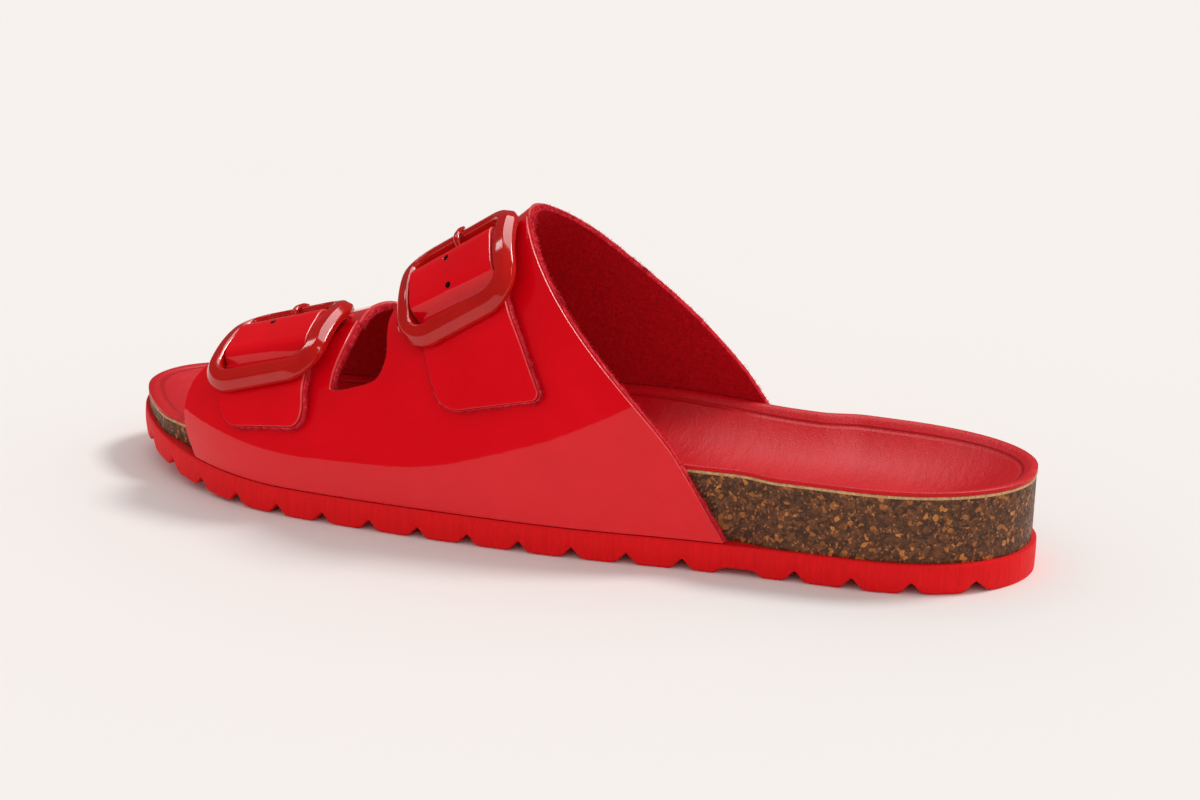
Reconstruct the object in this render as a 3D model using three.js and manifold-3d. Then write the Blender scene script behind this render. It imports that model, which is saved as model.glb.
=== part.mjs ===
// Two-strap buckled sandal, left shoe, in millimetres.
// Toe towards -X, heel towards +X, lateral side towards -Y, medial side towards +Y, floor at z = 0.
import * as THREE from 'three';
import Module from 'manifold-3d';

const wasm = await Module();
wasm.setup();

// Driving dimensions
const LENGTH = 258;
const GAP = 0.3;
const OUTSOLE_THICK = 7.5;
const TOE_SPRING = 7.8;
const SPRING_END = 0.28;
const TIP_SHIFT = 7.8;
const TIP_END = 0.25;
const TOE_ROUND_LATERAL = 0.29;
const TOE_ROUND_MEDIAL = 0.13;
const HEEL_ROUND = 0.155;
const ROUND_POWER = 2.1;
const LUG_PITCH = 13.8;
const LUG_FIRST = -115.6;
const LUG_DEPTH = 2.8;
const LUG_HALF_MOUTH = 2.4;
const LUG_CORNER = 1.8;
const LUG_CORNER_RISE = 0.35;
const WAIST_LUG = 13;
const WAIST_HALF = 6;
const WAIST_DEPTH = 1.6;
const SOLE_BEVEL = 0.35;
const SOLE_PROUD = 0.7;
const WALL = 2.6;
const FOOTBED_INSET = 1.2;
const COVER_THICK = 1.6;
const RIM_REACH = 32;
const RIM_EDGE = 0.93;
const RIM_DROP = 1.1;
const BLEND = 0.045;
const COVER_MARGIN = 0.006;
const COVER_SLACK = 0.2;
const STRAP_WIDTH = 26;
const STRAP_THICK = 2.2;
const STRAP_LIFT = 2.75;
const STRAP_START = 18;
const TAIL_CORNER = 5;

// Outline of the sole: half widths at fractions of the length, before the ends are rounded off
const OUTLINE = [
  { t: 0.00, lateral: 28.3, medial: 37.4 },
  { t: 0.12, lateral: 35.8, medial: 40.3 },
  { t: 0.24, lateral: 40.7, medial: 41.1 },
  { t: 0.35, lateral: 42.1, medial: 39.8 },
  { t: 0.46, lateral: 41.8, medial: 34.6 },
  { t: 0.58, lateral: 40.0, medial: 29.5 },
  { t: 0.70, lateral: 35.6, medial: 27.4 },
  { t: 0.82, lateral: 32.4, medial: 28.6 },
  { t: 1.00, lateral: 31.0, medial: 29.6 },
];

// Top of the footbed: height of its two rims and its middle, and how steeply each side climbs
const FOOTBED = [
  { t: 0.00, rimLateral: 20.9, middle: 19.6, rimMedial: 20.9, riseLateral: 6.0, riseMedial: 6.0 },
  { t: 0.12, rimLateral: 17.8, middle: 14.6, rimMedial: 18.3, riseLateral: 6.0, riseMedial: 6.0 },
  { t: 0.30, rimLateral: 20.0, middle: 14.8, rimMedial: 20.5, riseLateral: 4.0, riseMedial: 4.0 },
  { t: 0.45, rimLateral: 23.0, middle: 16.0, rimMedial: 26.0, riseLateral: 3.2, riseMedial: 2.4 },
  { t: 0.60, rimLateral: 26.5, middle: 17.2, rimMedial: 29.5, riseLateral: 2.8, riseMedial: 2.2 },
  { t: 0.75, rimLateral: 26.6, middle: 16.0, rimMedial: 28.2, riseLateral: 2.8, riseMedial: 2.8 },
  { t: 0.88, rimLateral: 26.2, middle: 15.4, rimMedial: 27.4, riseLateral: 2.8, riseMedial: 2.8 },
  { t: 1.00, rimLateral: 26.4, middle: 18.0, rimMedial: 27.0, riseLateral: 2.8, riseMedial: 2.8 },
];

// Sections of the last under the straps: crown place and height, and how long each side's
// curve stays upright at the sole (post) and level at the crown (roof)
const SECTIONS = [
  { t: 0.14, crownY: 2.5, crownZ: 38.5, postL: 0.33, roofL: 0.98, postM: 0.81, roofM: 0.65 },
  { t: 0.30, crownY: 3.3, crownZ: 49.5, postL: 0.23, roofL: 0.93, postM: 0.70, roofM: 0.70 },
  { t: 0.42, crownY: 3.3, crownZ: 69.0, postL: 0.20, roofL: 0.81, postM: 0.53, roofM: 0.74 },
  { t: 0.54, crownY: 3.3, crownZ: 93.5, postL: 0.31, roofL: 0.68, postM: 0.48, roofM: 0.77 },
  { t: 0.68, crownY: 2.5, crownZ: 116.0, postL: 0.54, roofL: 0.56, postM: 0.57, roofM: 0.75 },
];

// Cut edges of the upper across the foot, g = -1 at the lateral sole line, 0 at the crown and
// +1 at the medial sole line: front of the front strap, and rear of the rear strap
const OUTER_EDGES = [
  { g: -1.00, front: 0.148, rear: 0.732 },
  { g: -0.75, front: 0.128, rear: 0.628 },
  { g: -0.50, front: 0.130, rear: 0.551 },
  { g: -0.25, front: 0.149, rear: 0.501 },
  { g: 0.00, front: 0.162, rear: 0.474 },
  { g: 0.25, front: 0.157, rear: 0.485 },
  { g: 0.50, front: 0.144, rear: 0.537 },
  { g: 0.75, front: 0.127, rear: 0.634 },
  { g: 1.00, front: 0.121, rear: 0.755 },
];

// The gap between the two straps: rear edge of the front strap and front edge of the rear strap
const GAP_EDGES = [
  { g: -1.00, front: 0.324, rear: 0.366 },
  { g: -0.50, front: 0.314, rear: 0.368 },
  { g: -0.45, front: 0.312, rear: 0.371 },
  { g: -0.25, front: 0.309, rear: 0.356 },
  { g: 0.00, front: 0.290, rear: 0.360 },
  { g: 0.25, front: 0.283, rear: 0.372 },
  { g: 0.42, front: 0.284, rear: 0.372 },
  { g: 0.58, front: 0.290, rear: 0.355 },
  { g: 1.00, front: 0.300, rear: 0.340 },
];

// The gap's two floors, how far up each is rounded, and how square that rounding is
const GAP_LATERAL = { floor: -0.505, round: 0.034, power: 3.4 };
const GAP_MEDIAL = { floor: 0.585, round: 0.11, power: 2.4 };

// The two buckles: place of the middle on the upper, turn on the strap, tilts of the nose and
// of the side, and how far and how slanted the strap's tail hangs; height of both over the upper
const BUCKLES = [
  { name: 'front', t: 0.2323, g: -0.2491, turn: 0.096, nose: -0.042, side: 0.05, tail: -25, slant: 2 },
  { name: 'rear', t: 0.4391, g: -0.2753, turn: -0.085, nose: -0.042, side: 0, tail: -36, slant: 3.5 },
];
const BUCKLE_LIFT = 3;
const FRAME_RADIUS = 38.5;
const FRAME_WIDTH = 37.4;
const FRAME_LONG = 35.4;
const FRAME_BAR_SIDE = 5;
const FRAME_BAR_END = 5.6;
const FRAME_CORNER = 10.2;
const FRAME_INNER_CORNER = 4.6;
const FRAME_THICK = 3.5;
const FRAME_BEVEL = 1;
const FRAME_STEP = 6;
const CORNER_STEPS = 3;
const HINGE_U = -3;
const HINGE_RADIUS = 1.2;
const HINGE_HEIGHT = -0.4;
const HINGE_CLIMB = 2.1;
const HINGE_POWER = 12;
const HINGE_STEPS = 10;
const ROD_SIDES = 8;
const HOLE_U = 9.5;
const HOLE_RADIUS = 2.2;
const HOLE_FROM = -4;
const HOLE_TO = 7;
const HOLE_SIDES = 10;
const PRONG_RADIUS = 0.8;
const SEAT_HEIGHT = 3.35;
const SEAT_FROM = 10;
const SEAT_TO = 20;

// Height of a strap's outer face over the underside of the frame, along its run through the
// buckle, measured from the buckle's middle towards the crown
const STRAP_IN_FRAME = [
  { u: -30.0, height: -0.50 },
  { u: -18.0, height: -0.50 },
  { u: -12.5, height: -0.50 },
  { u: -10.8, height: -0.35 },
  { u: -9.4, height: 0.20 },
  { u: -8.3, height: 1.40 },
  { u: -7.1, height: 2.70 },
  { u: -5.6, height: 3.30 },
  { u: -3.0, height: 3.45 },
  { u: 1.0, height: 3.50 },
  { u: 4.2, height: 3.40 },
  { u: 6.2, height: 2.80 },
  { u: 7.8, height: 1.80 },
  { u: 9.2, height: 0.60 },
  { u: 10.4, height: -0.20 },
  { u: 11.6, height: -0.50 },
  { u: 14.5, height: -0.50 },
  { u: 17.5, height: -1.40 },
  { u: 22.0, height: -2.60 },
];

// Where the strap leaves the frame's own shape: at the tail's side and at the crown's side
const TAIL_BLEND = { from: -26, to: -17 };
const CROWN_BLEND = { from: 15, to: 22 };

// Route of a buckle's prong: from the hinge bar, up through its hole and into its seat on the nose bar
const PRONG_ROUTE = [
  { u: -0.5, height: -0.60 },
  { u: 4.0, height: -0.85 },
  { u: 7.0, height: -1.05 },
  { u: 8.3, height: -0.80 },
  { u: 9.2, height: 0.30 },
  { u: 10.0, height: 1.90 },
  { u: 10.9, height: 3.00 },
  { u: 12.2, height: 3.50 },
  { u: 14.0, height: 3.55 },
  { u: 15.8, height: 3.50 },
  { u: 17.2, height: 3.40 },
];

// Finishes
const outsoleFinish = new THREE.MeshStandardMaterial({ color: 0xd60f16, roughness: 0.75, metalness: 0 });
const corkFinish = new THREE.MeshStandardMaterial({ color: 0x6b4a30, roughness: 0.9, metalness: 0 });
const coverFinish = new THREE.MeshStandardMaterial({ color: 0xb51522, roughness: 0.5, metalness: 0 });
const patentFinish = new THREE.MeshStandardMaterial({ color: 0xc40818, roughness: 0.08, metalness: 0 });
const buckleFinish = new THREE.MeshStandardMaterial({ color: 0xa51914, roughness: 0.2, metalness: 0 });

// Smooth curve through one column of a table, by cubic pieces whose slopes are the mean of
// the neighbouring steps
function smooth(table, key, column, at) {
  const last = table.length - 1;
  const step = (i) => (table[i + 1][column] - table[i][column]) / (table[i + 1][key] - table[i][key]);
  const wide = (i) => table[i + 1][key] - table[i][key];
  const slope = (i) => {
    if (i === 0) return step(0);
    if (i === last) return step(last - 1);
    return (step(i - 1) * wide(i) + step(i) * wide(i - 1)) / (wide(i) + wide(i - 1));
  };
  let i = 0;
  while (i < last - 1 && at >= table[i + 1][key]) i += 1;
  const s = THREE.MathUtils.clamp((at - table[i][key]) / wide(i), 0, 1);
  const rest = 1 - s;
  const value = (1 + 2 * s) * rest * rest * table[i][column] + (3 - 2 * s) * s * s * table[i + 1][column];
  return value + s * rest * wide(i) * (rest * slope(i) - s * slope(i + 1));
}

// Rounding of an outline's end, 0 at the end and 1 from a given distance in
function roundedEnd(distance, reach) {
  const a = THREE.MathUtils.clamp(1 - distance / reach, 0, 1);
  return Math.pow(1 - Math.pow(a, ROUND_POWER), 1 / ROUND_POWER);
}

// Y of the sole's edge at t, on the lateral (-1) or medial (+1) side, a given inset within it
function soleEdge(t, side, inset = 0) {
  const column = side < 0 ? 'lateral' : 'medial';
  const toe = side < 0 ? TOE_ROUND_LATERAL : TOE_ROUND_MEDIAL;
  const k = THREE.MathUtils.clamp(1 - t / TIP_END, 0, 1);
  const centre = TIP_SHIFT * k * k * (3 - 2 * k);
  const half = smooth(OUTLINE, 't', column, t) - side * centre - inset;
  return centre + side * half * roundedEnd(t, toe) * roundedEnd(1 - t, HEEL_ROUND);
}

const along = (t) => (t - 0.5) * LENGTH;
const soleRise = (t) => TOE_SPRING * Math.pow(THREE.MathUtils.clamp(1 - t / SPRING_END, 0, 1), 2);
const soleTop = (t) => soleRise(t) + OUTSOLE_THICK;

// Underside of the outsole: rounded lugs parted by V grooves, and one wide shallow recess
function lugRise(x) {
  const index = Math.round((x - LUG_FIRST) / LUG_PITCH);
  const off = Math.abs(x - LUG_FIRST - index * LUG_PITCH);
  if (index === WAIST_LUG) {
    return off < WAIST_HALF ? WAIST_DEPTH * (1 - Math.pow(off / WAIST_HALF, 4)) : 0;
  }
  if (off < LUG_HALF_MOUTH) {
    return LUG_CORNER_RISE + (LUG_DEPTH - LUG_CORNER_RISE) * (1 - off / LUG_HALF_MOUTH);
  }
  return LUG_CORNER_RISE * Math.max(0, 1 - (off - LUG_HALF_MOUTH) / LUG_CORNER);
}

// One half section of the last at t: a cubic curve from the sole line (s = 0) to the crown (s = 1)
function sectionPoint(t, side, s) {
  const column = side < 0 ? 'L' : 'M';
  const footY = soleEdge(t, side) - side * SOLE_PROUD;
  const footZ = soleTop(t) + GAP;
  const crownY = smooth(SECTIONS, 't', 'crownY', t);
  const crownZ = smooth(SECTIONS, 't', 'crownZ', t);
  const post = footZ + smooth(SECTIONS, 't', 'post' + column, t) * (crownZ - footZ);
  const roof = crownY + smooth(SECTIONS, 't', 'roof' + column, t) * (footY - crownY);
  const r = 1 - s;
  const a = r * r * r;
  const b = 3 * r * r * s;
  const c = 3 * r * s * s;
  const d = s * s * s;
  const y = (a + b) * footY + c * roof + d * crownY;
  const z = a * footZ + b * post + (c + d) * crownZ;
  return { y, z };
}

// The upper's outer face, and the point that lies a height above it
function lastPoint(t, g) {
  const p = sectionPoint(t, g < 0 ? -1 : 1, 1 - Math.abs(g));
  return new THREE.Vector3(along(t), p.y, p.z);
}

// Slopes of that face along t and along g
function tangents(t, g) {
  const e = 0.002;
  const byT = lastPoint(t + e, g).sub(lastPoint(t - e, g)).divideScalar(2 * e);
  const byG = lastPoint(t, g + e).sub(lastPoint(t, g - e)).divideScalar(2 * e);
  return { byT, byG };
}

function lastNormal(t, g) {
  const { byT, byG } = tangents(t, g);
  return byT.cross(byG).normalize();
}

const above = (t, g, height) => lastPoint(t, g).addScaledVector(lastNormal(t, g), height);

// One look at a heading laid into the face: how fast t and g change along it
function course(at) {
  const { byT, byG } = tangents(at.t, at.g);
  const normal = byT.clone().cross(byG).normalize();
  const heading = at.heading.clone().addScaledVector(normal, -at.heading.dot(normal)).normalize();
  const [tt, tg, gg] = [byT.dot(byT), byT.dot(byG), byG.dot(byG)];
  const [ht, hg] = [heading.dot(byT), heading.dot(byG)];
  const whole = tt * gg - tg * tg;
  return { dt: (ht * gg - hg * tg) / whole, dg: (hg * tt - ht * tg) / whole, heading };
}

// Straightest path on the face from a place, by midpoint steps
function travel(start, distance, steps) {
  const pace = distance / steps;
  let at = start;
  for (let n = 0; n < steps; n += 1) {
    const first = course(at);
    const half = { t: at.t + (first.dt * pace) / 2, g: at.g + (first.dg * pace) / 2, heading: first.heading };
    const next = course(half);
    at = { t: at.t + next.dt * pace, g: at.g + next.dg * pace, heading: next.heading };
  }
  return at;
}

// Closed solid between two faces given on one grid; cells that are off are left open
function gridSolid(rows, columns, faceA, faceB, isOn = () => true) {
  const points = [];
  for (const face of [faceA, faceB]) {
    for (let i = 0; i < rows; i += 1) {
      for (let j = 0; j < columns; j += 1) points.push(face(i, j));
    }
  }
  const id = (layer, i, j) => layer * rows * columns + i * columns + j;
  const on = (i, j) => i >= 0 && j >= 0 && i < rows - 1 && j < columns - 1 && isOn(i, j);
  const index = [];
  const quad = (a, b, c, d) => index.push(a, b, c, a, c, d);
  for (let i = 0; i < rows - 1; i += 1) {
    for (let j = 0; j < columns - 1; j += 1) {
      if (!on(i, j)) continue;
      quad(id(0, i, j), id(0, i + 1, j), id(0, i + 1, j + 1), id(0, i, j + 1));
      quad(id(1, i, j), id(1, i, j + 1), id(1, i + 1, j + 1), id(1, i + 1, j));
      if (!on(i - 1, j)) quad(id(0, i, j), id(0, i, j + 1), id(1, i, j + 1), id(1, i, j));
      if (!on(i + 1, j)) quad(id(0, i + 1, j + 1), id(0, i + 1, j), id(1, i + 1, j), id(1, i + 1, j + 1));
      if (!on(i, j - 1)) quad(id(0, i + 1, j), id(0, i, j), id(1, i, j), id(1, i + 1, j));
      if (!on(i, j + 1)) quad(id(0, i, j + 1), id(0, i + 1, j + 1), id(1, i + 1, j + 1), id(1, i, j + 1));
    }
  }
  let volume = 0;
  for (let k = 0; k < index.length; k += 3) {
    const [a, b, c] = [points[index[k]], points[index[k + 1]], points[index[k + 2]]];
    volume += a.dot(b.clone().cross(c));
  }
  if (volume < 0) index.reverse();
  const geometry = new THREE.BufferGeometry();
  geometry.setAttribute('position', new THREE.Float32BufferAttribute(points.flatMap((p) => p.toArray()), 3));
  geometry.setIndex(index);
  return geometry;
}

const MERGE = 1e-4;

// A closed mesh whose shared corners are merged, as a solid that can be joined and cut
function toSolid(geometry) {
  const merged = new Map();
  const position = geometry.attributes.position;
  const corner = geometry.index ? Array.from(geometry.index.array) : [...Array(position.count).keys()];
  const vertices = [];
  const ids = corner.map((v) => {
    const point = [position.getX(v), position.getY(v), position.getZ(v)];
    const name = point.map((n) => Math.round(n / MERGE)).join();
    if (!merged.has(name)) {
      merged.set(name, vertices.length / 3);
      vertices.push(...point);
    }
    return merged.get(name);
  });
  const triangles = [];
  for (let k = 0; k < ids.length; k += 3) {
    const [a, b, c] = ids.slice(k, k + 3);
    if (a !== b && b !== c && c !== a) triangles.push(a, b, c);
  }
  const mesh = new wasm.Mesh({
    numProp: 3,
    vertProperties: new Float32Array(vertices),
    triVerts: new Uint32Array(triangles),
  });
  return new wasm.Manifold(mesh);
}

function toGeometry(solid) {
  const mesh = solid.getMesh();
  const geometry = new THREE.BufferGeometry();
  geometry.setAttribute('position', new THREE.BufferAttribute(mesh.vertProperties, 3));
  geometry.setIndex(new THREE.BufferAttribute(mesh.triVerts, 1));
  return geometry;
}

const END_STATIONS = 26;
const LUG_COUNT = 20;
const STATION_STEP = 0.0012;
const STATION_ENDS = 0.03;

// Stations along the shoe, closer together towards its rounded ends
function stations(count) {
  const list = [];
  for (let i = 0; i < count; i += 1) {
    const share = STATION_ENDS + (1 - 2 * STATION_ENDS) * (i / (count - 1));
    list.push(0.5 - 0.5 * Math.cos(Math.PI * share));
  }
  return list;
}

// Stations of the outsole also sit on the corners of every lug
function lugStations() {
  const list = stations(END_STATIONS);
  const corners = [0, LUG_HALF_MOUTH, LUG_HALF_MOUTH + LUG_CORNER];
  for (let n = -1; n < LUG_COUNT; n += 1) {
    const x = LUG_FIRST + n * LUG_PITCH;
    const offsets = n === WAIST_LUG ? [0, (WAIST_HALF * 3) / 4, WAIST_HALF] : corners;
    for (const off of offsets) {
      list.push((x + off) / LENGTH + 0.5);
      list.push((x - off) / LENGTH + 0.5);
    }
  }
  const [first, last] = [list[0], list[END_STATIONS - 1]];
  const sorted = list.filter((t) => t >= first && t <= last).sort((a, b) => a - b);
  return sorted.filter((t, i) => i === 0 || t - sorted[i - 1] > STATION_STEP);
}

function makeOutsole() {
  const rows = lugStations();
  const across = [-1, -0.96, 0.96, 1];
  const place = (t, w, z) => {
    const low = soleEdge(t, -1);
    const high = soleEdge(t, 1);
    return new THREE.Vector3(along(t), low + (high - low) * (0.5 + 0.5 * w), z);
  };
  const top = (i, j) => place(rows[i], across[j], soleTop(rows[i]));
  const bottom = (i, j) => {
    const t = rows[i];
    const edge = Math.abs(across[j]) === 1 ? SOLE_BEVEL : 0;
    return place(t, across[j], soleRise(t) + lugRise(along(t)) + edge);
  };
  return gridSolid(rows.length, across.length, top, bottom);
}

// How far the upper covers the footbed's side at t: 1 where it does, 0 past its ends
function covered(t, side) {
  const [sole, next] = side < 0 ? OUTER_EDGES.slice(0, 2) : OUTER_EDGES.slice(-2).reverse();
  const first = Math.min(sole.front, next.front) - COVER_MARGIN;
  const last = sole.rear + COVER_MARGIN;
  const front = THREE.MathUtils.smoothstep(t, first - BLEND, first);
  return front * (1 - THREE.MathUtils.smoothstep(t, last, last + BLEND));
}

const FOOTBED_SCALE = 1 - (2 * FOOTBED_INSET) / LENGTH;
const CURVE_SEARCH = 24;
const LEAN_SHARE = 1.06;
const COVER_FIRST = 0.12;
const COVER_LAST = 0.76;

// Y of the footbed's side at t of its own outline and height z: the outline itself where it is
// bare, and a gap inside the upper's inner face where the upper covers it
function footbedSide(t, side, z) {
  const at = 0.5 + (t - 0.5) * FOOTBED_SCALE;
  const tc = THREE.MathUtils.clamp(at, COVER_FIRST, COVER_LAST);
  let low = 0;
  let high = 1;
  const reach = z - soleTop(at) + soleTop(tc);
  for (let n = 0; n < CURVE_SEARCH; n += 1) {
    const middle = (low + high) / 2;
    if (sectionPoint(tc, side, middle).z < reach) low = middle;
    else high = middle;
  }
  const lean = side * (soleEdge(tc, side) - side * SOLE_PROUD - sectionPoint(tc, side, low).y);
  const under = SOLE_PROUD + WALL + GAP + lean * LEAN_SHARE + COVER_SLACK;
  const share = covered(at, side);
  return (1 - share) * soleEdge(t, side, FOOTBED_INSET) + share * (soleEdge(at, side) - side * under);
}

const rimHeight = (t, side) => smooth(FOOTBED, 't', side < 0 ? 'rimLateral' : 'rimMedial', t);

// Point of the footbed at t, across from the lateral (-1) to the medial (+1) side, and height z;
// the side's own height may be another
function footbedPlace(t, w, z, lateralZ = z, medialZ = lateralZ) {
  const low = footbedSide(t, -1, lateralZ);
  const high = footbedSide(t, 1, medialZ);
  return new THREE.Vector3(along(t) * FOOTBED_SCALE, low + (high - low) * (0.5 + 0.5 * w), z);
}

const RIM_STATIONS = 60;

// The footbed's rim seen from above, as one closed line
function rimLine() {
  const line = [];
  for (const side of [-1, 1]) {
    for (let i = 0; i <= RIM_STATIONS; i += 1) {
      const share = side < 0 ? i / RIM_STATIONS : 1 - i / RIM_STATIONS;
      const t = 0.5 - 0.5 * Math.cos(Math.PI * share);
      line.push(footbedPlace(t, side, 0, rimHeight(t, -1), rimHeight(t, 1)));
    }
  }
  return line;
}

const RIM_LINE = rimLine();

// Distance from the rim, seen from above, of the footbed at t and across w
function rimDistance(t, w) {
  const point = footbedPlace(t, w, 0, rimHeight(t, -1), rimHeight(t, 1));
  const nearest = new THREE.Vector3();
  let least = Infinity;
  RIM_LINE.forEach((end, i) => {
    const segment = new THREE.Line3(RIM_LINE[(i + RIM_LINE.length - 1) % RIM_LINE.length], end);
    segment.closestPointToPoint(point, true, nearest);
    least = Math.min(least, nearest.distanceTo(point));
  });
  return least;
}

// Height of the footbed's top: it climbs from the middle to the rim as the nearness to the rim to
// a power, and its outermost edge turns down
function footbedTop(t, w) {
  const side = w < 0 ? -1 : 1;
  const middle = smooth(FOOTBED, 't', 'middle', t);
  const power = smooth(FOOTBED, 't', side < 0 ? 'riseLateral' : 'riseMedial', t);
  const near = 1 - Math.min(1, rimDistance(t, w) / RIM_REACH);
  const over = Math.max(0, (near - RIM_EDGE) / (1 - RIM_EDGE));
  return middle + (rimHeight(t, side) - middle) * Math.pow(near, power) - RIM_DROP * over * over;
}

const FOOTBED_STATIONS = 33;
const FOOTBED_ACROSS = [-1, -0.95, -0.88, -0.75, -0.5, 0, 0.5, 0.75, 0.88, 0.95, 1];

// A layer of the footbed; the two layers share the stations and the side's line where they meet
function footbedLayer(topPlace, lowPlace) {
  const rows = stations(FOOTBED_STATIONS);
  const heights = rows.map((t) => FOOTBED_ACROSS.map((w) => footbedTop(t, w)));
  const top = (i, j) => topPlace(rows[i], FOOTBED_ACROSS[j], heights[i][j]);
  const low = (i, j) => lowPlace(rows[i], FOOTBED_ACROSS[j], heights[i][j]);
  return gridSolid(rows.length, FOOTBED_ACROSS.length, top, low);
}

function makeCork() {
  const top = (t, w, height) => footbedPlace(t, w, height - COVER_THICK - GAP);
  const low = (t, w) => footbedPlace(t, w, soleTop(0.5 + (t - 0.5) * FOOTBED_SCALE) + GAP);
  return footbedLayer(top, low);
}

function makeInsole() {
  const top = (t, w, height) => footbedPlace(t, w, height);
  const low = (t, w, height) => footbedPlace(t, w, height - COVER_THICK, height - COVER_THICK - GAP);
  return footbedLayer(top, low);
}

// Rows of the upper across the foot, with one on each floor of the gap between the straps and
// some on the floor's rounded corners
const LATERAL_ROWS = 8;
const ROUND_ROWS = 4;
const BETWEEN_ROWS = 18;
const MEDIAL_ROWS = 7;
const GAP_ROWS = 2 * ROUND_ROWS + BETWEEN_ROWS;
const FRONT_COLUMNS = 8;
const REAR_COLUMNS = 9;

function upperRows() {
  const rows = [];
  const spread = (from, to, count, bend = (s) => s) => {
    for (let i = 0; i < count; i += 1) rows.push(from + (to - from) * bend(i / count));
  };
  const [lateral, medial] = [GAP_LATERAL, GAP_MEDIAL];
  const opening = (s) => 1 - Math.cos((s * Math.PI) / 2);
  const closing = (s) => Math.sin((s * Math.PI) / 2);
  spread(-1, lateral.floor, LATERAL_ROWS);
  spread(lateral.floor, lateral.floor + lateral.round, ROUND_ROWS, opening);
  spread(lateral.floor + lateral.round, medial.floor - medial.round, BETWEEN_ROWS);
  spread(medial.floor - medial.round, medial.floor, ROUND_ROWS, closing);
  spread(medial.floor, 1, MEDIAL_ROWS);
  rows.push(1);
  return rows;
}

// Share of the gap's width that is open on row g: rounded off at both floors, none beyond them
function gapOpen(g) {
  const rounded = (distance, end) => {
    const a = THREE.MathUtils.clamp(1 - distance / end.round, 0, 1);
    return Math.pow(1 - Math.pow(a, end.power), 1 / end.power);
  };
  return rounded(g - GAP_LATERAL.floor, GAP_LATERAL) * rounded(GAP_MEDIAL.floor - g, GAP_MEDIAL);
}

// T of the upper's column j on row g
function upperStation(g, j) {
  const front = smooth(OUTER_EDGES, 'g', 'front', g);
  const rear = smooth(OUTER_EDGES, 'g', 'rear', g);
  const gapFront = smooth(GAP_EDGES, 'g', 'front', g);
  const gapRear = smooth(GAP_EDGES, 'g', 'rear', g);
  const centre = (gapFront + gapRear) / 2;
  const half = ((gapRear - gapFront) / 2) * gapOpen(g);
  if (j <= FRONT_COLUMNS) return front + ((centre - half - front) * j) / FRONT_COLUMNS;
  const from = centre + half;
  return from + ((rear - from) * (j - FRONT_COLUMNS - 1)) / REAR_COLUMNS;
}

function makeShell() {
  const rows = upperRows();
  const columns = FRONT_COLUMNS + REAR_COLUMNS + 2;
  const outer = (i, j) => lastPoint(upperStation(rows[i], j), rows[i]);
  const inner = (i, j) => above(upperStation(rows[i], j), rows[i], -WALL);
  const isOn = (i, j) => j !== FRONT_COLUMNS || i < LATERAL_ROWS || i >= LATERAL_ROWS + GAP_ROWS;
  return gridSolid(rows.length, columns, outer, inner, isOn);
}

// Two axes turned towards each other
const tip = (a, b, angle) => {
  const turned = a.clone().multiplyScalar(Math.cos(angle)).addScaledVector(b, Math.sin(angle));
  const other = b.clone().multiplyScalar(Math.cos(angle)).addScaledVector(a, -Math.sin(angle));
  return [turned, other];
};

// Heading of a strap at its buckle's middle, towards the crown, and the face's normal there
function strapHeading(buckle) {
  const { byT, byG } = tangents(buckle.t, buckle.g);
  const up = byT.clone().cross(byG).normalize();
  const back = byT.normalize();
  const [long] = tip(up.clone().cross(back), back, -buckle.turn);
  return { long, up };
}

// Rigid place on a buckle: v across, u along an arc towards the crown, height over its underside
function framePlace(buckle, v, u, height) {
  const heading = strapHeading(buckle);
  const [long, tipped] = tip(heading.long, heading.up, buckle.nose);
  const [wide, up] = tip(heading.long.clone().cross(heading.up), tipped, buckle.side);
  const turn = u / FRAME_RADIUS;
  const radius = FRAME_RADIUS + height;
  return lastPoint(buckle.t, buckle.g)
    .addScaledVector(wide, v)
    .addScaledVector(long, radius * Math.sin(turn))
    .addScaledVector(up, BUCKLE_LIFT + radius * Math.cos(turn) - FRAME_RADIUS);
}

const WALK_ALONG = 10;
const WALK_ACROSS = 5;

// Soft place on a strap: u walked along the upper's face from the buckle's middle, then v walked
// across, then height along the normal
function strapPlace(buckle, v, u, height) {
  const start = { t: buckle.t, g: buckle.g, heading: strapHeading(buckle).long };
  const mid = travel(start, u, WALK_ALONG);
  const sideways = mid.heading.clone().cross(lastNormal(mid.t, mid.g));
  const end = travel({ t: mid.t, g: mid.g, heading: sideways }, v, WALK_ACROSS);
  return above(end.t, end.g, height);
}

const STRAP_ROWS = 22;
const TAIL_ROWS = [0.7, 0.35, 0.1];
const STRAP_ACROSS = [-1, -0.8, -0.4, 0, 0.4, 0.8, 1];
const STRAP_FOOT = -0.25;

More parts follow.
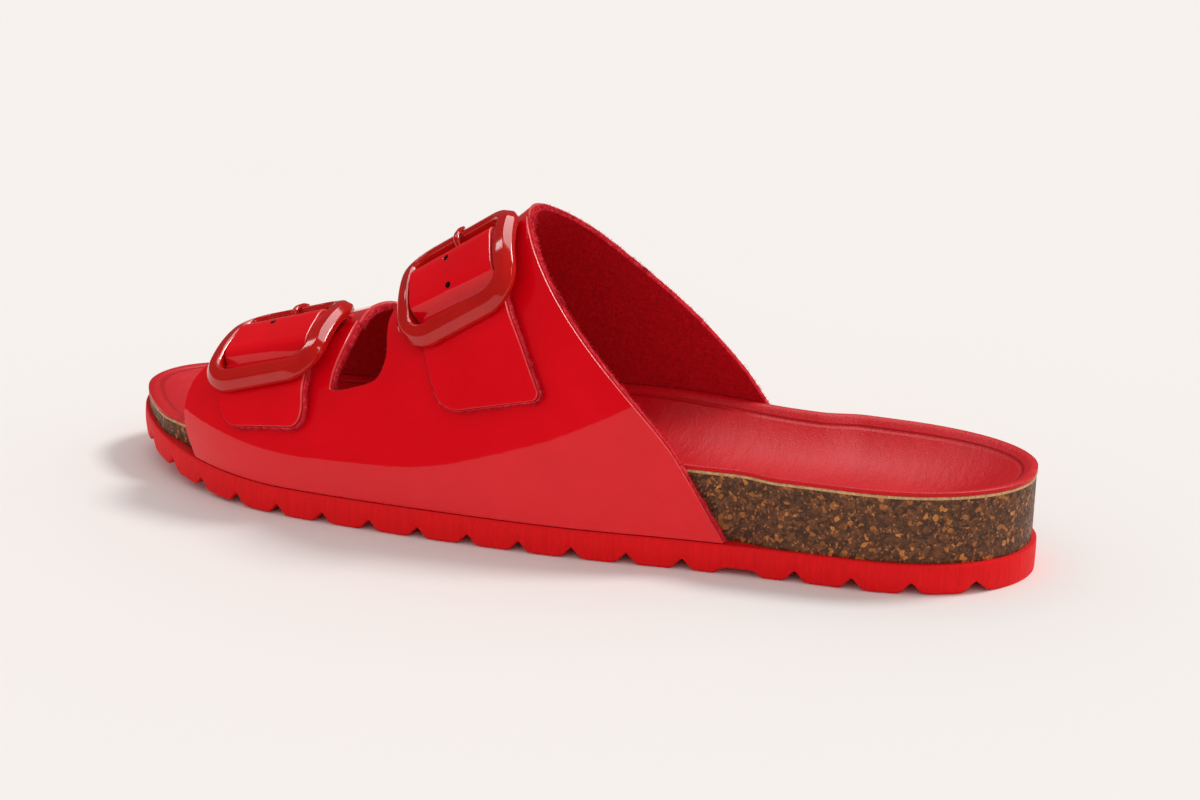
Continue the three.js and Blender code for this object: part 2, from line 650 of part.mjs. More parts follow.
// A strap from under the buckle's nose over the hinge bar and down to its free tail
function makeStrap(buckle) {
  const rows = TAIL_ROWS.map((share) => buckle.tail + TAIL_CORNER * share);
  for (let i = 0; i <= STRAP_ROWS; i += 1) {
    rows.push(STRAP_START + ((buckle.tail - STRAP_START) * i) / STRAP_ROWS);
  }
  rows.sort((a, b) => b - a);
  const half = STRAP_WIDTH / 2;
  const place = (i, j, depth) => {
    const u = rows[i];
    const near = THREE.MathUtils.clamp(1 - (u - buckle.tail) / TAIL_CORNER, 0, 1);
    const round = TAIL_CORNER * (1 - Math.sqrt(1 - near * near));
    const v = STRAP_ACROSS[j] * (half - round);
    const run = u < 0 ? u - (buckle.slant * (v / half) * u) / buckle.tail : u;
    const leaving = THREE.MathUtils.smoothstep(u, TAIL_BLEND.from, TAIL_BLEND.to);
    const rigid = leaving * (1 - THREE.MathUtils.smoothstep(u, CROWN_BLEND.from, CROWN_BLEND.to));
    const soft = strapPlace(buckle, v, run, (u < 0 ? STRAP_LIFT : STRAP_FOOT) - depth);
    return soft.lerp(framePlace(buckle, v, run, smooth(STRAP_IN_FRAME, 'u', 'height', u) - depth), rigid);
  };
  const top = (i, j) => place(i, j, 0);
  const low = (i, j) => place(i, j, STRAP_THICK);
  return gridSolid(rows.length, STRAP_ACROSS.length, top, low);
}

// Closed tube through rings of points
function prism(rings) {
  const sides = rings[0].length;
  const points = rings.flat();
  const index = [];
  for (let i = 0; i < rings.length - 1; i += 1) {
    for (let k = 0; k < sides; k += 1) {
      const a = i * sides + k;
      const b = i * sides + ((k + 1) % sides);
      index.push(a, b, b + sides, a, b + sides, a + sides);
    }
  }
  const last = (rings.length - 1) * sides;
  for (let k = 1; k < sides - 1; k += 1) {
    index.push(0, k + 1, k);
    index.push(last, last + k, last + k + 1);
  }
  const geometry = new THREE.BufferGeometry();
  geometry.setAttribute('position', new THREE.Float32BufferAttribute(points.flatMap((p) => p.toArray()), 3));
  geometry.setIndex(index);
  return outward(geometry);
}

// Turns a closed mesh's faces outwards
function outward(geometry) {
  const position = geometry.attributes.position;
  const index = Array.from(geometry.index.array);
  const corner = (k) => new THREE.Vector3().fromBufferAttribute(position, index[k]);
  let volume = 0;
  for (let k = 0; k < index.length; k += 3) volume += corner(k).dot(corner(k + 1).cross(corner(k + 2)));
  if (volume < 0) geometry.setIndex(index.reverse());
  return geometry;
}

function roundedRectangle(path, wide, long, corner) {
  const [x, y] = [wide / 2, long / 2];
  path.moveTo(-x + corner, -y);
  path.lineTo(x - corner, -y);
  path.absarc(x - corner, -y + corner, corner, -Math.PI / 2, 0, false);
  path.lineTo(x, y - corner);
  path.absarc(x - corner, y - corner, corner, 0, Math.PI / 2, false);
  path.lineTo(-x + corner, y);
  path.absarc(-x + corner, y - corner, corner, Math.PI / 2, Math.PI, false);
  path.lineTo(-x, -y + corner);
  path.absarc(-x + corner, -y + corner, corner, Math.PI, 1.5 * Math.PI, false);
  return path;
}

// Points are added on the frame's straight sides, so that it bends with its arc
function frameOutline(path, wide, long, corner) {
  const coarse = roundedRectangle(path, wide, long, corner).getPoints(CORNER_STEPS);
  const fine = [];
  coarse.forEach((a, i) => {
    const b = coarse[(i + 1) % coarse.length];
    const far = a.distanceTo(b);
    if (far < GAP / 10) return;
    const parts = Math.max(1, Math.round(far / FRAME_STEP));
    for (let k = 0; k < parts; k += 1) fine.push(a.clone().lerp(b, k / parts));
  });
  return fine;
}

function makeBuckle(buckle) {
  const bevel = FRAME_BEVEL;
  const [wide, long] = [FRAME_WIDTH - 2 * bevel, FRAME_LONG - 2 * bevel];
  const outer = frameOutline(new THREE.Shape(), wide, long, FRAME_CORNER - bevel);
  const openWide = FRAME_WIDTH - 2 * FRAME_BAR_SIDE + 2 * bevel;
  const openLong = FRAME_LONG - 2 * FRAME_BAR_END + 2 * bevel;
  const inner = frameOutline(new THREE.Path(), openWide, openLong, FRAME_INNER_CORNER + bevel);
  const shape = new THREE.Shape(outer);
  shape.holes.push(new THREE.Path(inner));
  const frame = new THREE.ExtrudeGeometry(shape, {
    depth: FRAME_THICK - 2 * bevel,
    bevelThickness: bevel,
    bevelSize: bevel,
    bevelSegments: 1,
    steps: 1,
  });
  const position = frame.attributes.position;
  for (let i = 0; i < position.count; i += 1) {
    const height = bevel + position.getZ(i);
    const p = framePlace(buckle, position.getX(i), position.getY(i), height);
    position.setXYZ(i, p.x, p.y, p.z);
  }
  const seated = toSolid(frame).subtract(toSolid(makeSeat(buckle)));
  return toGeometry(seated.add(toSolid(makeHinge(buckle))));
}

// Groove over the nose bar that the prong rests in
function makeSeat(buckle) {
  const radius = PRONG_RADIUS + GAP;
  const rings = [SEAT_FROM, (SEAT_FROM + SEAT_TO) / 2, SEAT_TO].map((u) => {
    const ring = [];
    for (let k = 0; k < ROD_SIDES; k += 1) {
      const a = (2 * Math.PI * (k + 0.5)) / ROD_SIDES;
      const height = SEAT_HEIGHT + (Math.sin(a) > 0 ? 2 : 1) * radius * Math.sin(a);
      ring.push(framePlace(buckle, radius * Math.cos(a), u, height));
    }
    return ring;
  });
  return prism(rings);
}

// Hinge bar: a rod across the strap whose ends climb into the frame's sides
function makeHinge(buckle) {
  const reach = FRAME_WIDTH / 2 - FRAME_BAR_SIDE / 2;
  const rings = [];
  for (let i = 0; i <= HINGE_STEPS; i += 1) {
    const v = -reach + (2 * reach * i) / HINGE_STEPS;
    const height = HINGE_HEIGHT + HINGE_CLIMB * Math.pow(Math.abs(v) / reach, HINGE_POWER);
    const ring = [];
    for (let k = 0; k < ROD_SIDES; k += 1) {
      const a = (2 * Math.PI * (k + 0.5)) / ROD_SIDES;
      const u = HINGE_U + HINGE_RADIUS * Math.cos(a);
      ring.push(framePlace(buckle, v, u, height + HINGE_RADIUS * Math.sin(a)));
    }
    rings.push(ring);
  }
  return prism(rings);
}

function makeProng(buckle) {
  const rings = PRONG_ROUTE.map((point, i) => {
    const before = PRONG_ROUTE[Math.max(i - 1, 0)];
    const after = PRONG_ROUTE[Math.min(i + 1, PRONG_ROUTE.length - 1)];
    const heading = Math.atan2(after.height - before.height, after.u - before.u);
    const ring = [];
    for (let k = 0; k < ROD_SIDES; k += 1) {
      const a = (2 * Math.PI * (k + 0.5)) / ROD_SIDES;
      const lift = PRONG_RADIUS * Math.sin(a);
      const u = point.u - lift * Math.sin(heading);
      const height = point.height + lift * Math.cos(heading);
      ring.push(framePlace(buckle, PRONG_RADIUS * Math.cos(a), u, height));
    }
    return ring;
  });
  return prism(rings);
}

// The hole in the strap that the prong comes up through
function makeHole(buckle) {
  const rings = [HOLE_FROM, HOLE_TO].map((height) => {
    const ring = [];
    for (let k = 0; k < HOLE_SIDES; k += 1) {
      const a = (2 * Math.PI * (k + 0.5)) / HOLE_SIDES;
      ring.push(framePlace(buckle, HOLE_RADIUS * Math.cos(a), HOLE_U + HOLE_RADIUS * Math.sin(a), height));
    }
    return ring;
  });
  return prism(rings);
}

function makeUpper() {
  let solid = toSolid(makeShell());
  for (const buckle of BUCKLES) {
    const strap = toSolid(makeStrap(buckle)).subtract(toSolid(makeHole(buckle)));
    solid = solid.add(strap);
  }
  return toGeometry(solid);
}

const sandal = new THREE.Group();

function addPiece(name, geometry, finish) {
  const mesh = new THREE.Mesh(geometry, finish);
  mesh.name = name;
  sandal.add(mesh);
}

addPiece('outsole', makeOutsole(), outsoleFinish);
addPiece('cork_footbed', makeCork(), corkFinish);
addPiece('insole', makeInsole(), coverFinish);
addPiece('upper', makeUpper(), patentFinish);
for (const buckle of BUCKLES) {
  addPiece('buckle_' + buckle.name, makeBuckle(buckle), buckleFinish);
  addPiece('prong_' + buckle.name, makeProng(buckle), buckleFinish);
}

// The origin is the middle of the shoe's outline, on the floor
const middle = new THREE.Box3().setFromObject(sandal).getCenter(new THREE.Vector3());
sandal.position.set(-middle.x, -middle.y, 0);

export default sandal;
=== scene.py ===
"""Two-strap buckled sandal, left shoe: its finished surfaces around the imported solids.

Shapes are worked out in millimetres, toe towards -X, heel towards +X, lateral side towards -Y,
floor at z = 0, and go into the meshes in metres.
"""

import bpy
import numpy as np
from mathutils import Matrix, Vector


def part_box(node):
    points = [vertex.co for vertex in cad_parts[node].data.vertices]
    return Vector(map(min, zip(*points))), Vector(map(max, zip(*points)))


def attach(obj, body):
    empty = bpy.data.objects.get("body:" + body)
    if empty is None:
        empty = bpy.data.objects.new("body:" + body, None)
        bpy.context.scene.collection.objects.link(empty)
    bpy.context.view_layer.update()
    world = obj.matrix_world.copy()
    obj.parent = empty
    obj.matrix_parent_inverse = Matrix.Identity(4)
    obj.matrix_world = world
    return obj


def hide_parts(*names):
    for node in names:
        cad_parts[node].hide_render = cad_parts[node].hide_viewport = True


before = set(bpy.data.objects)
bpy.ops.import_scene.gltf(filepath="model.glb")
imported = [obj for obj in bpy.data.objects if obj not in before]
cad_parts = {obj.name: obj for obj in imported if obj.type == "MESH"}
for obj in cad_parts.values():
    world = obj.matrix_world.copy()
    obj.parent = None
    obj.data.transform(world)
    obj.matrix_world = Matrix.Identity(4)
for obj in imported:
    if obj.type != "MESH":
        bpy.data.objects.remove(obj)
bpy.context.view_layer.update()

# Sizes in millimetres, and places along the length as fractions of it
LENGTH = 258.0
GAP = 0.3
WELD = 2e-4
# Outsole: outline, toe spring, lugs and edges
OUTSOLE_THICK = 7.5
TOE_SPRING = 7.8
SPRING_END = 0.28
TIP_SHIFT = 7.8
TIP_END = 0.25
TOE_ROUND_LATERAL = 0.29
TOE_ROUND_MEDIAL = 0.13
HEEL_ROUND = 0.155
ROUND_POWER = 2.1
LUG_PITCH = 13.8
LUG_FIRST = -115.6
LUG_DEPTH = 2.8
LUG_HALF_MOUTH = 2.2
LUG_CORNER = 2.2
LUG_CORNER_RISE = 0.45
WAIST_LUG = 13
WAIST_HALF = 6.0
WAIST_DEPTH = 1.6
SOLE_STEP = 0.42
SOLE_END = 0.03
SOLE_EDGE_ROUND = 0.9
SOLE_TOP_ROUND = 0.35
SOLE_BELLY = 0.35
UNDERSIDE_END = 0.25
# Footbed: inset from the outsole, its side under the upper, its rim and its layers
FOOTBED_INSET = 1.2
FOOTBED_SCALE = 1 - 2 * FOOTBED_INSET / LENGTH
FOOTBED_LEAN = 1.06
FOOTBED_CLEAR = 0.2
FOOTBED_LIFT = 0.02
COVERED_FROM, COVERED_TO = 0.12, 0.76
COVER_MARGIN = 0.006
BLEND = 0.045
RIM_REACH = 32.0
RIM_EDGE = 0.93
RIM_DROP = 1.1
COVER_THICK = 1.1
JUTE_THICK = 0.8
LAYER_SWELL = 0.25
CORK_SWELL = 0.05
# Upper: its wall, its patent skin and what its cut edges do
SOLE_PROUD = 0.7
WALL = 2.6
SKIN = 0.8
CUT_SWELL = 0.12
FELT_EDGE = dict(bulge=0.35, power=2.2, rough=0.5)
LINING_GROW = 0.25
EDGE_NOISE, RING_NOISE = (1.3, 5), (0.9, 8)
FIBRE_LENGTH, FIBRE_THICK = (0.35, 1.15), (0.045, 0.085)
FIBRE_LEAN, FIBRE_BEND = 0.55, 0.9
# Strap ends: their outer face lies over the quarter at the tail, and at the start dips under it;
# between two places each they ease to the frame's coordinates, back from them, and down
STRAP_WIDTH = 26.0
STRAP_THICK = 2.3
STRAP_START = 19.0
STRAP_GROW = 0.3
TAIL_CORNER = 5.0
TAIL_REST, START_REST, START_DIP = 2.75, 0.25, 0.5
JOIN_TAIL, JOIN_START, DIP = (-26, -17), (15, 22), (16, 19)

# t, lateral half width, medial half width
OUTLINE = np.array([
    [0.00, 28.3, 37.4], [0.12, 35.8, 40.3], [0.24, 40.7, 41.1], [0.35, 42.1, 39.8],
    [0.46, 41.8, 34.6], [0.58, 40.0, 29.5], [0.70, 35.6, 27.4], [0.82, 32.4, 28.6],
    [1.00, 31.0, 29.6]])
# t, lateral rim, middle, medial rim, lateral rise, medial rise
FOOTBED = np.array([
    [0.00, 20.9, 19.6, 20.9, 6.0, 6.0], [0.12, 17.8, 14.6, 18.3, 6.0, 6.0],
    [0.30, 20.0, 14.8, 20.5, 4.0, 4.0], [0.45, 23.0, 16.0, 26.0, 3.2, 2.4],
    [0.60, 26.5, 17.2, 29.5, 2.8, 2.2], [0.75, 26.6, 16.0, 28.2, 2.8, 2.8],
    [0.88, 26.2, 15.4, 27.4, 2.8, 2.8], [1.00, 26.4, 18.0, 27.0, 2.8, 2.8]])
# t, crown y, crown z, lateral post, lateral roof, medial post, medial roof
SECTIONS = np.array([
    [0.14, 2.5, 38.5, 0.33, 0.98, 0.81, 0.65], [0.30, 3.3, 49.5, 0.23, 0.93, 0.70, 0.70],
    [0.42, 3.3, 69.0, 0.20, 0.81, 0.53, 0.74], [0.54, 3.3, 93.5, 0.31, 0.68, 0.48, 0.77],
    [0.68, 2.5, 116.0, 0.54, 0.56, 0.57, 0.75]])
# g, front of the front strap, rear of the rear strap
OUTER_EDGES = np.array([
    [-1.00, 0.148, 0.732], [-0.75, 0.128, 0.628], [-0.50, 0.130, 0.551], [-0.25, 0.149, 0.501],
    [0.00, 0.162, 0.474], [0.25, 0.157, 0.485], [0.50, 0.144, 0.537], [0.75, 0.127, 0.634],
    [1.00, 0.121, 0.755]])
# g, front and rear edge of the gap between the straps
GAP_EDGES = np.array([
    [-1.00, 0.324, 0.366], [-0.50, 0.314, 0.368], [-0.45, 0.312, 0.371], [-0.25, 0.309, 0.356],
    [0.00, 0.290, 0.360], [0.25, 0.283, 0.372], [0.42, 0.284, 0.372], [0.58, 0.290, 0.355],
    [1.00, 0.300, 0.340]])
# Both floors of that gap, and where the lateral quarter's end makes a small step
GAP_LATERAL = dict(floor=-0.505, round=0.034, power=3.4)
GAP_MEDIAL = dict(floor=0.585, round=0.11, power=2.4)
QUARTER_END = -0.158
QUARTER_STEP = 0.9
# Rows of the upper's grid near that step, and its columns before and behind the gap
STEP_ROWS = np.array([-0.004, 0.0, 0.0012, 0.004])
STEP_CLEAR = 0.006
FRONT_COLUMNS, REAR_COLUMNS = 46, 52
# Least half width of the gap, and what counts as being on a row, as fractions
LEAST_GAP = 0.0004
SAME_ROW = 1e-9

# Place of each buckle's middle on the upper, its turn, its two tilts and its height; its strap's
# tail end, the end's slant and the smaller of its two corners
BUCKLES = {
    "front": dict(t=0.2323, g=-0.2491, turn=0.096, nose=-0.042, side=0.05, lift=3.0,
                  tail=-25.0, slant=2.0, corner=4.5),
    "rear": dict(t=0.4391, g=-0.2753, turn=-0.085, nose=-0.042, side=0.0, lift=3.0,
                 tail=-36.0, slant=3.5, corner=2.2),
}
FRAME_RADIUS = 38.5
FRAME_WIDTH = 37.4
FRAME_LONG = 35.4
FRAME_BAR_SIDE = 5.0
FRAME_BAR_END = 5.6
FRAME_CORNER = 10.2
FRAME_INNER_CORNER = 4.6
FRAME_SOFT = 0.36
HINGE_U = -3.0
HINGE_RADIUS = 1.2
HINGE_HEIGHT = -0.4
HINGE_CLIMB = 2.1
PRONG_RADIUS = 0.8
PRONG_TAPER = 0.35
PRONG_SPREAD = 0.25
SEAT_HEIGHT = 3.35
SEAT_RADIUS = 1.1
# u along the strap, height of the strap's outer face over the frame's underside
STRAP_IN_FRAME = np.array([
    [-30.0, -0.5], [-18.0, -0.5], [-12.5, -0.5], [-10.8, -0.35], [-9.4, 0.2], [-8.3, 1.4],
    [-7.1, 2.7], [-5.6, 3.2], [-3.0, 3.35], [1.0, 3.65], [4.0, 3.95], [5.4, 3.75], [6.6, 3.0],
    [8.0, 1.7], [9.2, 0.6], [10.4, -0.2], [11.6, -0.5], [14.5, -0.5], [17.5, -1.4], [22.0, -2.6]])
# u, height of the prong's middle over the frame's underside
PRONG_ROUTE = np.array([
    [-0.5, -0.6], [4.0, -0.85], [7.0, -1.05], [8.3, -0.8], [9.2, 0.3], [10.0, 1.9], [10.9, 3.0],
    [12.2, 3.5], [14.0, 3.55], [15.8, 3.5], [17.2, 3.4]])
# Section of the frame's bar from its outer side inwards: across, height
FRAME_SECTION = np.array([
    [0.0, 0.0], [5.0, 0.0], [5.0, 2.75], [4.35, 3.5], [1.75, 3.2], [0.0, 1.55]])
# Punched holes of each strap: across it, along it
PINHOLES = {"front": np.array([[-1.75, 3.0]]), "rear": np.array([[-1.0, 3.0], [-0.5, -5.75]])}

# Floor's half size, metres
FLOOR_HALF = 40.0
# Light: fill from all round, what shows of it in mirrors, the key's direction, strength and width
ROOM_FILL = 0.68
ROOM_COLOUR = (1.0, 0.985, 0.97, 1)
ROOM_MIRRORED = 0.10
ROOM_MIRRORED_COLOUR = (1.0, 0.97, 0.95, 1)
KEY_TOWARDS = (0.42, 0.42, 0.80)
KEY_STRENGTH = 1.42
KEY_ANGLE = 16.0
KEY_COLOUR = (1.0, 0.985, 0.965)
# Panels that show in mirrors: place, aim, width, height, watts
PANELS = (
    ((0.10, 0.60, 1.30), (0, 0, 0.05), 1.20, 0.70, 12.0),
    ((-0.75, 0.10, 1.10), (0, 0, 0.05), 0.16, 0.70, 2.2),
    ((0.80, -0.35, 1.25), (0, 0, 0.05), 0.14, 0.60, 1.6),
)
# The photo's camera round the shoe's middle: angles, then distance, aside and up in millimetres
CAMERA_AZIMUTH = np.radians(30.75)
CAMERA_ELEVATION = np.radians(12.69)
CAMERA_ROLL = np.radians(1.04)
CAMERA_FROM = 512.3
CAMERA_SIDE = -65.15
CAMERA_UP = 52.02
CAMERA_AIM = np.array([14.0, 0, 30.0])
# Its focal length as fitted, in widths of the picture, and the share kept to take in the heel
SENSOR = 36
CAMERA_FOCAL = 2234.6 / 1200 * SENSOR
CAMERA_WIDEN = 0.86

root = "root"


# Curves and arrays
def smooth(table, column, at):
    """Cubic pieces through one column of a table against its first column; a row's slope is the
    mean of the steps on both sides of it, each weighted by the other step's width."""
    x, y = table[:, 0], table[:, column]
    wide = np.diff(x)
    step = np.diff(y) / wide
    inside = (step[:-1] * wide[1:] + step[1:] * wide[:-1]) / (wide[1:] + wide[:-1])
    slope = np.concatenate([step[:1], inside, step[-1:]])
    at = np.asarray(at, float)
    i = np.clip(np.searchsorted(x, at, side="right") - 1, 0, len(x) - 2)
    s = np.clip((at - x[i]) / wide[i], 0, 1)
    r = 1 - s
    value = (1 + 2 * s) * r * r * y[i] + (3 - 2 * s) * s * s * y[i + 1]
    return value + s * r * wide[i] * (r * slope[i] - s * slope[i + 1])


def ease(x, low, high):
    """0 below low, 1 above high and the smooth step 3x^2 - 2x^3 in between."""
    s = np.clip((np.asarray(x, float) - low) / (high - low), 0, 1)
    return s * s * (3 - 2 * s)


def unit(v):
    """Each vector divided by its length."""
    return v / np.maximum(np.linalg.norm(v, axis=-1, keepdims=True), 1e-12)


def dot(a, b):
    """Sum of products along the last axis."""
    return (a * b).sum(-1)


def close_ended(count):
    """Numbers from 0 to 1, closer together at both ends, as half a cosine wave."""
    return 0.5 - 0.5 * np.cos(np.pi * np.linspace(0, 1, count))


def quarter_wave(count):
    """Numbers from 0 to 1, closer together at the start, as a quarter of a cosine wave."""
    return 1 - np.cos(np.linspace(0, np.pi / 2, count))


def side_to_side(count):
    """Numbers from -1 to 1, closer together at both ends."""
    return np.sin(np.linspace(-np.pi / 2, np.pi / 2, count))


def full_turn(count):
    """Angles of that many points round a circle."""
    return np.linspace(0, 2 * np.pi, count + 1)[None, :-1]


def round_off(a, power):
    """Rounding that falls from 1 at a = 0 to 0 at a = 1: a superellipse of that power."""
    return (1 - a**power) ** (1 / power)


def wobble(points, size, seed):
    """Smooth noise without a table: the mean of nine sine waves of about that size, each in its
    own direction and phase, taken from a seeded generator."""
    rng = np.random.default_rng(seed)
    total = 0
    for _ in range(9):
        heading = unit(rng.normal(size=3))
        wave = 2 * np.pi / (size * rng.uniform(0.6, 1.6))
        total = total + np.sin(points @ heading * wave + rng.uniform(0, 2 * np.pi))
    return total / 4.5


# The shoe's forms
def rounded_end(distance, reach):
    """Share of an outline's width at a distance from its end, full beyond the reach."""
    return round_off(np.clip(1 - distance / reach, 0, 1), ROUND_POWER)


def sole_edge(t, side, inset=0.0):
    """Y of the sole's edge: the toe's centre line plus the table's half width less an inset,
    rounded off at both ends."""
    k = np.clip(1 - t / TIP_END, 0, 1)
    centre = TIP_SHIFT * k * k * (3 - 2 * k)
    toe = TOE_ROUND_LATERAL if side < 0 else TOE_ROUND_MEDIAL
    half = smooth(OUTLINE, 1 if side < 0 else 2, t) - side * centre - inset
    return centre + side * half * rounded_end(t, toe) * rounded_end(1 - t, HEEL_ROUND)


def along(t):
    """X of a fraction of the length."""
    return (t - 0.5) * LENGTH


def sole_rise(t):
    """Toe spring, a parabola from where the sole leaves the floor."""
    return TOE_SPRING * np.clip(1 - t / SPRING_END, 0, 1) ** 2


def sole_top(t):
    """Height of the outsole's top."""
    return sole_rise(t) + OUTSOLE_THICK


def last_point(t, g):
    """The upper's outer face: at each t two cubic curves from the sole line (g = -1 lateral, +1
    medial) up to the crown (g = 0)."""
    t, g = np.broadcast_arrays(np.asarray(t, float), np.asarray(g, float))
    lateral = g < 0
    s = 1 - np.abs(g)
    r = 1 - s
    foot_y = np.where(lateral, sole_edge(t, -1) + SOLE_PROUD, sole_edge(t, 1) - SOLE_PROUD)
    foot_z = sole_top(t) + GAP
    crown_y, crown_z = smooth(SECTIONS, 1, t), smooth(SECTIONS, 2, t)
    up, over = (
        np.where(lateral, smooth(SECTIONS, k, t), smooth(SECTIONS, k + 2, t)) for k in (3, 4))
    post = foot_z + up * (crown_z - foot_z)
    roof = crown_y + over * (foot_y - crown_y)
    a, b, c, d = r**3, 3 * r * r * s, 3 * r * s * s, s**3
    y = (a + b) * foot_y + c * roof + d * crown_y
    z = a * foot_z + b * post + (c + d) * crown_z
    return np.stack([along(t), y, z], -1)


def tangents(t, g, e=0.002):
    """Slopes of the face along t and along g, from small steps both ways."""
    by_t = (last_point(t + e, g) - last_point(t - e, g)) / (2 * e)
    by_g = (last_point(t, g + e) - last_point(t, g - e)) / (2 * e)
    return by_t, by_g


def last_normal(t, g):
    """Outward normal of the upper's outer face."""
    by_t, by_g = tangents(t, g)
    return unit(np.cross(by_t, by_g))


def above(t, g, height):
    """Point at a height over the upper's outer face."""
    return last_point(t, g) + last_normal(t, g) * np.asarray(height, float)[..., None]


def travel(t, g, heading, far, steps):
    """Straightest path on the face: small midpoint steps of a heading that is laid back into the
    face after each."""
    pace = np.asarray(far, float) / steps

    def slopes(t, g, heading):
        """Changes of t and g over a millimetre of the heading, and the heading laid flat."""
        by_t, by_g = tangents(t, g)
        n = unit(np.cross(by_t, by_g))
        heading = unit(heading - n * dot(heading, n)[..., None])
        tt, tg, gg = dot(by_t, by_t), dot(by_t, by_g), dot(by_g, by_g)
        ht, hg = dot(heading, by_t), dot(heading, by_g)
        whole = tt * gg - tg * tg
        return (ht * gg - hg * tg) / whole, (hg * tt - ht * tg) / whole, heading

    for _ in range(steps):
        dt, dg, heading = slopes(t, g, heading)
        dt, dg, heading = slopes(t + dt * pace / 2, g + dg * pace / 2, heading)
        t, g = t + dt * pace, g + dg * pace
    return t, g, heading


def buckle_heading(b):
    """Normal of the face at a buckle's middle, and the way of its strap there."""
    by_t, by_g = tangents(np.array(b["t"]), np.array(b["g"]))
    n, a = unit(np.cross(by_t, by_g)), unit(by_t)
    return n, -np.sin(b["turn"]) * a + np.cos(b["turn"]) * np.cross(n, a)


def buckle_axes(b):
    """Axes of a buckle across the strap, along it towards the crown, and up from it."""
    n, u = buckle_heading(b)
    v = np.cross(u, n)
    c, s = np.cos(b["nose"]), np.sin(b["nose"])
    u, n = c * u + s * n, c * n - s * u
    c, s = np.cos(b["side"]), np.sin(b["side"])
    return c * v + s * n, u, c * n - s * v


def frame_place(b, v, u, height):
    """Rigid place on a buckle: v across, u wrapped on an arc of the frame's radius, and height
    over the frame's underside."""
    v, u, height = np.broadcast_arrays(*(np.asarray(x, float) for x in (v, u, height)))
    side, long, up = buckle_axes(b)
    middle = last_point(b["t"], b["g"]) + up * b["lift"]
    r, turn = (FRAME_RADIUS + height)[..., None], (u / FRAME_RADIUS)[..., None]
    point = middle + v[..., None] * side + r * np.sin(turn) * long
    return point + (r * np.cos(turn) - FRAME_RADIUS) * up


def strap_place(b, v, u, height):
    """Soft place on the strap: u walked along the face from the buckle's middle, then v walked
    across, then height along the normal."""
    v, u, height = np.broadcast_arrays(*(np.asarray(x, float) for x in (v, u, height)))
    _, heading = buckle_heading(b)
    t, g = np.full(v.shape, b["t"]), np.full(v.shape, b["g"])
    t, g, heading = travel(t, g, np.broadcast_to(heading, v.shape + (3,)), u, 10)
    t, g, heading = travel(t, g, np.cross(heading, last_normal(t, g)), v, 5)
    return above(t, g, height)


# Meshes
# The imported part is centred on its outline, so every point here is shifted as much
outsole_low, outsole_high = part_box("outsole")
fine_t = np.linspace(0.002, 0.998, 2000)
own_middle = (sole_edge(fine_t, -1).min() + sole_edge(fine_t, 1).max()) / 2
SHIFT_Y = 500 * (outsole_low.y + outsole_high.y) - own_middle


def put(name, points, faces, finishes, which=None, sharp=40.0, marks=None):
    """Millimetre points and faces of four corners go into a mesh in metres; a face whose third and
    fourth corners are alike becomes a triangle, and one that has collapsed is dropped. Marks are
    three numbers a point, kept on the mesh for its finish to read."""
    points = np.asarray(points, float) + [0, SHIFT_Y, 0]
    faces = np.asarray(faces, int)
    which = np.zeros(len(faces), int) if which is None else np.asarray(which, int)
    # corners at one place become one vertex
    keys = np.round(points / WELD).astype(np.int64)
    _, first, same = np.unique(keys, axis=0, return_index=True, return_inverse=True)
    points, faces = points[first], same.reshape(-1)[faces]
    keep = faces != np.roll(faces, -1, axis=1)
    count = keep.sum(1)
    good = count >= 3
    faces, keep, count, which = faces[good], keep[good], count[good], which[good]
    mesh = bpy.data.meshes.new(name)
    mesh.vertices.add(len(points))
    mesh.vertices.foreach_set("co", (points / 1000).astype(np.float32).ravel())
    corners = faces[keep]
    mesh.loops.add(len(corners))
    mesh.loops.foreach_set("vertex_index", corners.astype(np.int32))
    mesh.polygons.add(len(faces))
    mesh.polygons.foreach_set("loop_start", (np.cumsum(count) - count).astype(np.int32))
    mesh.polygons.foreach_set("loop_total", count.astype(np.int32))
    if marks is not None:
        kept = mesh.attributes.new("marks", "FLOAT_VECTOR", "POINT")
        kept.data.foreach_set("vector", marks[first].astype(np.float32).ravel())
    for finish in finishes:
        mesh.materials.append(finish)
    mesh.polygons.foreach_set("material_index", which.astype(np.int32))
    mesh.update(calc_edges=True)
    mesh.validate()
    mesh.polygons.foreach_set("use_smooth", np.ones(len(mesh.polygons), bool))
    mesh.set_sharp_from_angle(angle=np.radians(sharp))
    piece = bpy.data.objects.new(name, mesh)
    bpy.context.scene.collection.objects.link(piece)
    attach(piece, root)
    return piece


def ring_faces(rows, columns, turn_rows):
    """Faces between rings of points, with the last ring joined to the first where asked."""
    last = rows if turn_rows else rows - 1
    i, j = np.meshgrid(np.arange(last), np.arange(columns), indexing="ij")
    i2, j2 = (i + 1) % rows, (j + 1) % columns
    faces = [i * columns + j, i2 * columns + j, i2 * columns + j2, i * columns + j2]
    return np.stack(faces, -1).reshape(-1, 4)


def outward(points, faces):
    """Faces turned so that the volume they close is positive."""
    a, b, c, d = (points[faces[:, k]] for k in range(4))
    volume = dot(a, np.cross(b, c)).sum() + dot(a, np.cross(c, d)).sum()
    return faces if volume > 0 else faces[:, ::-1]


# Cut edge of each shell: its points on both faces, the way out of it and the way along it
BORDERS = {}


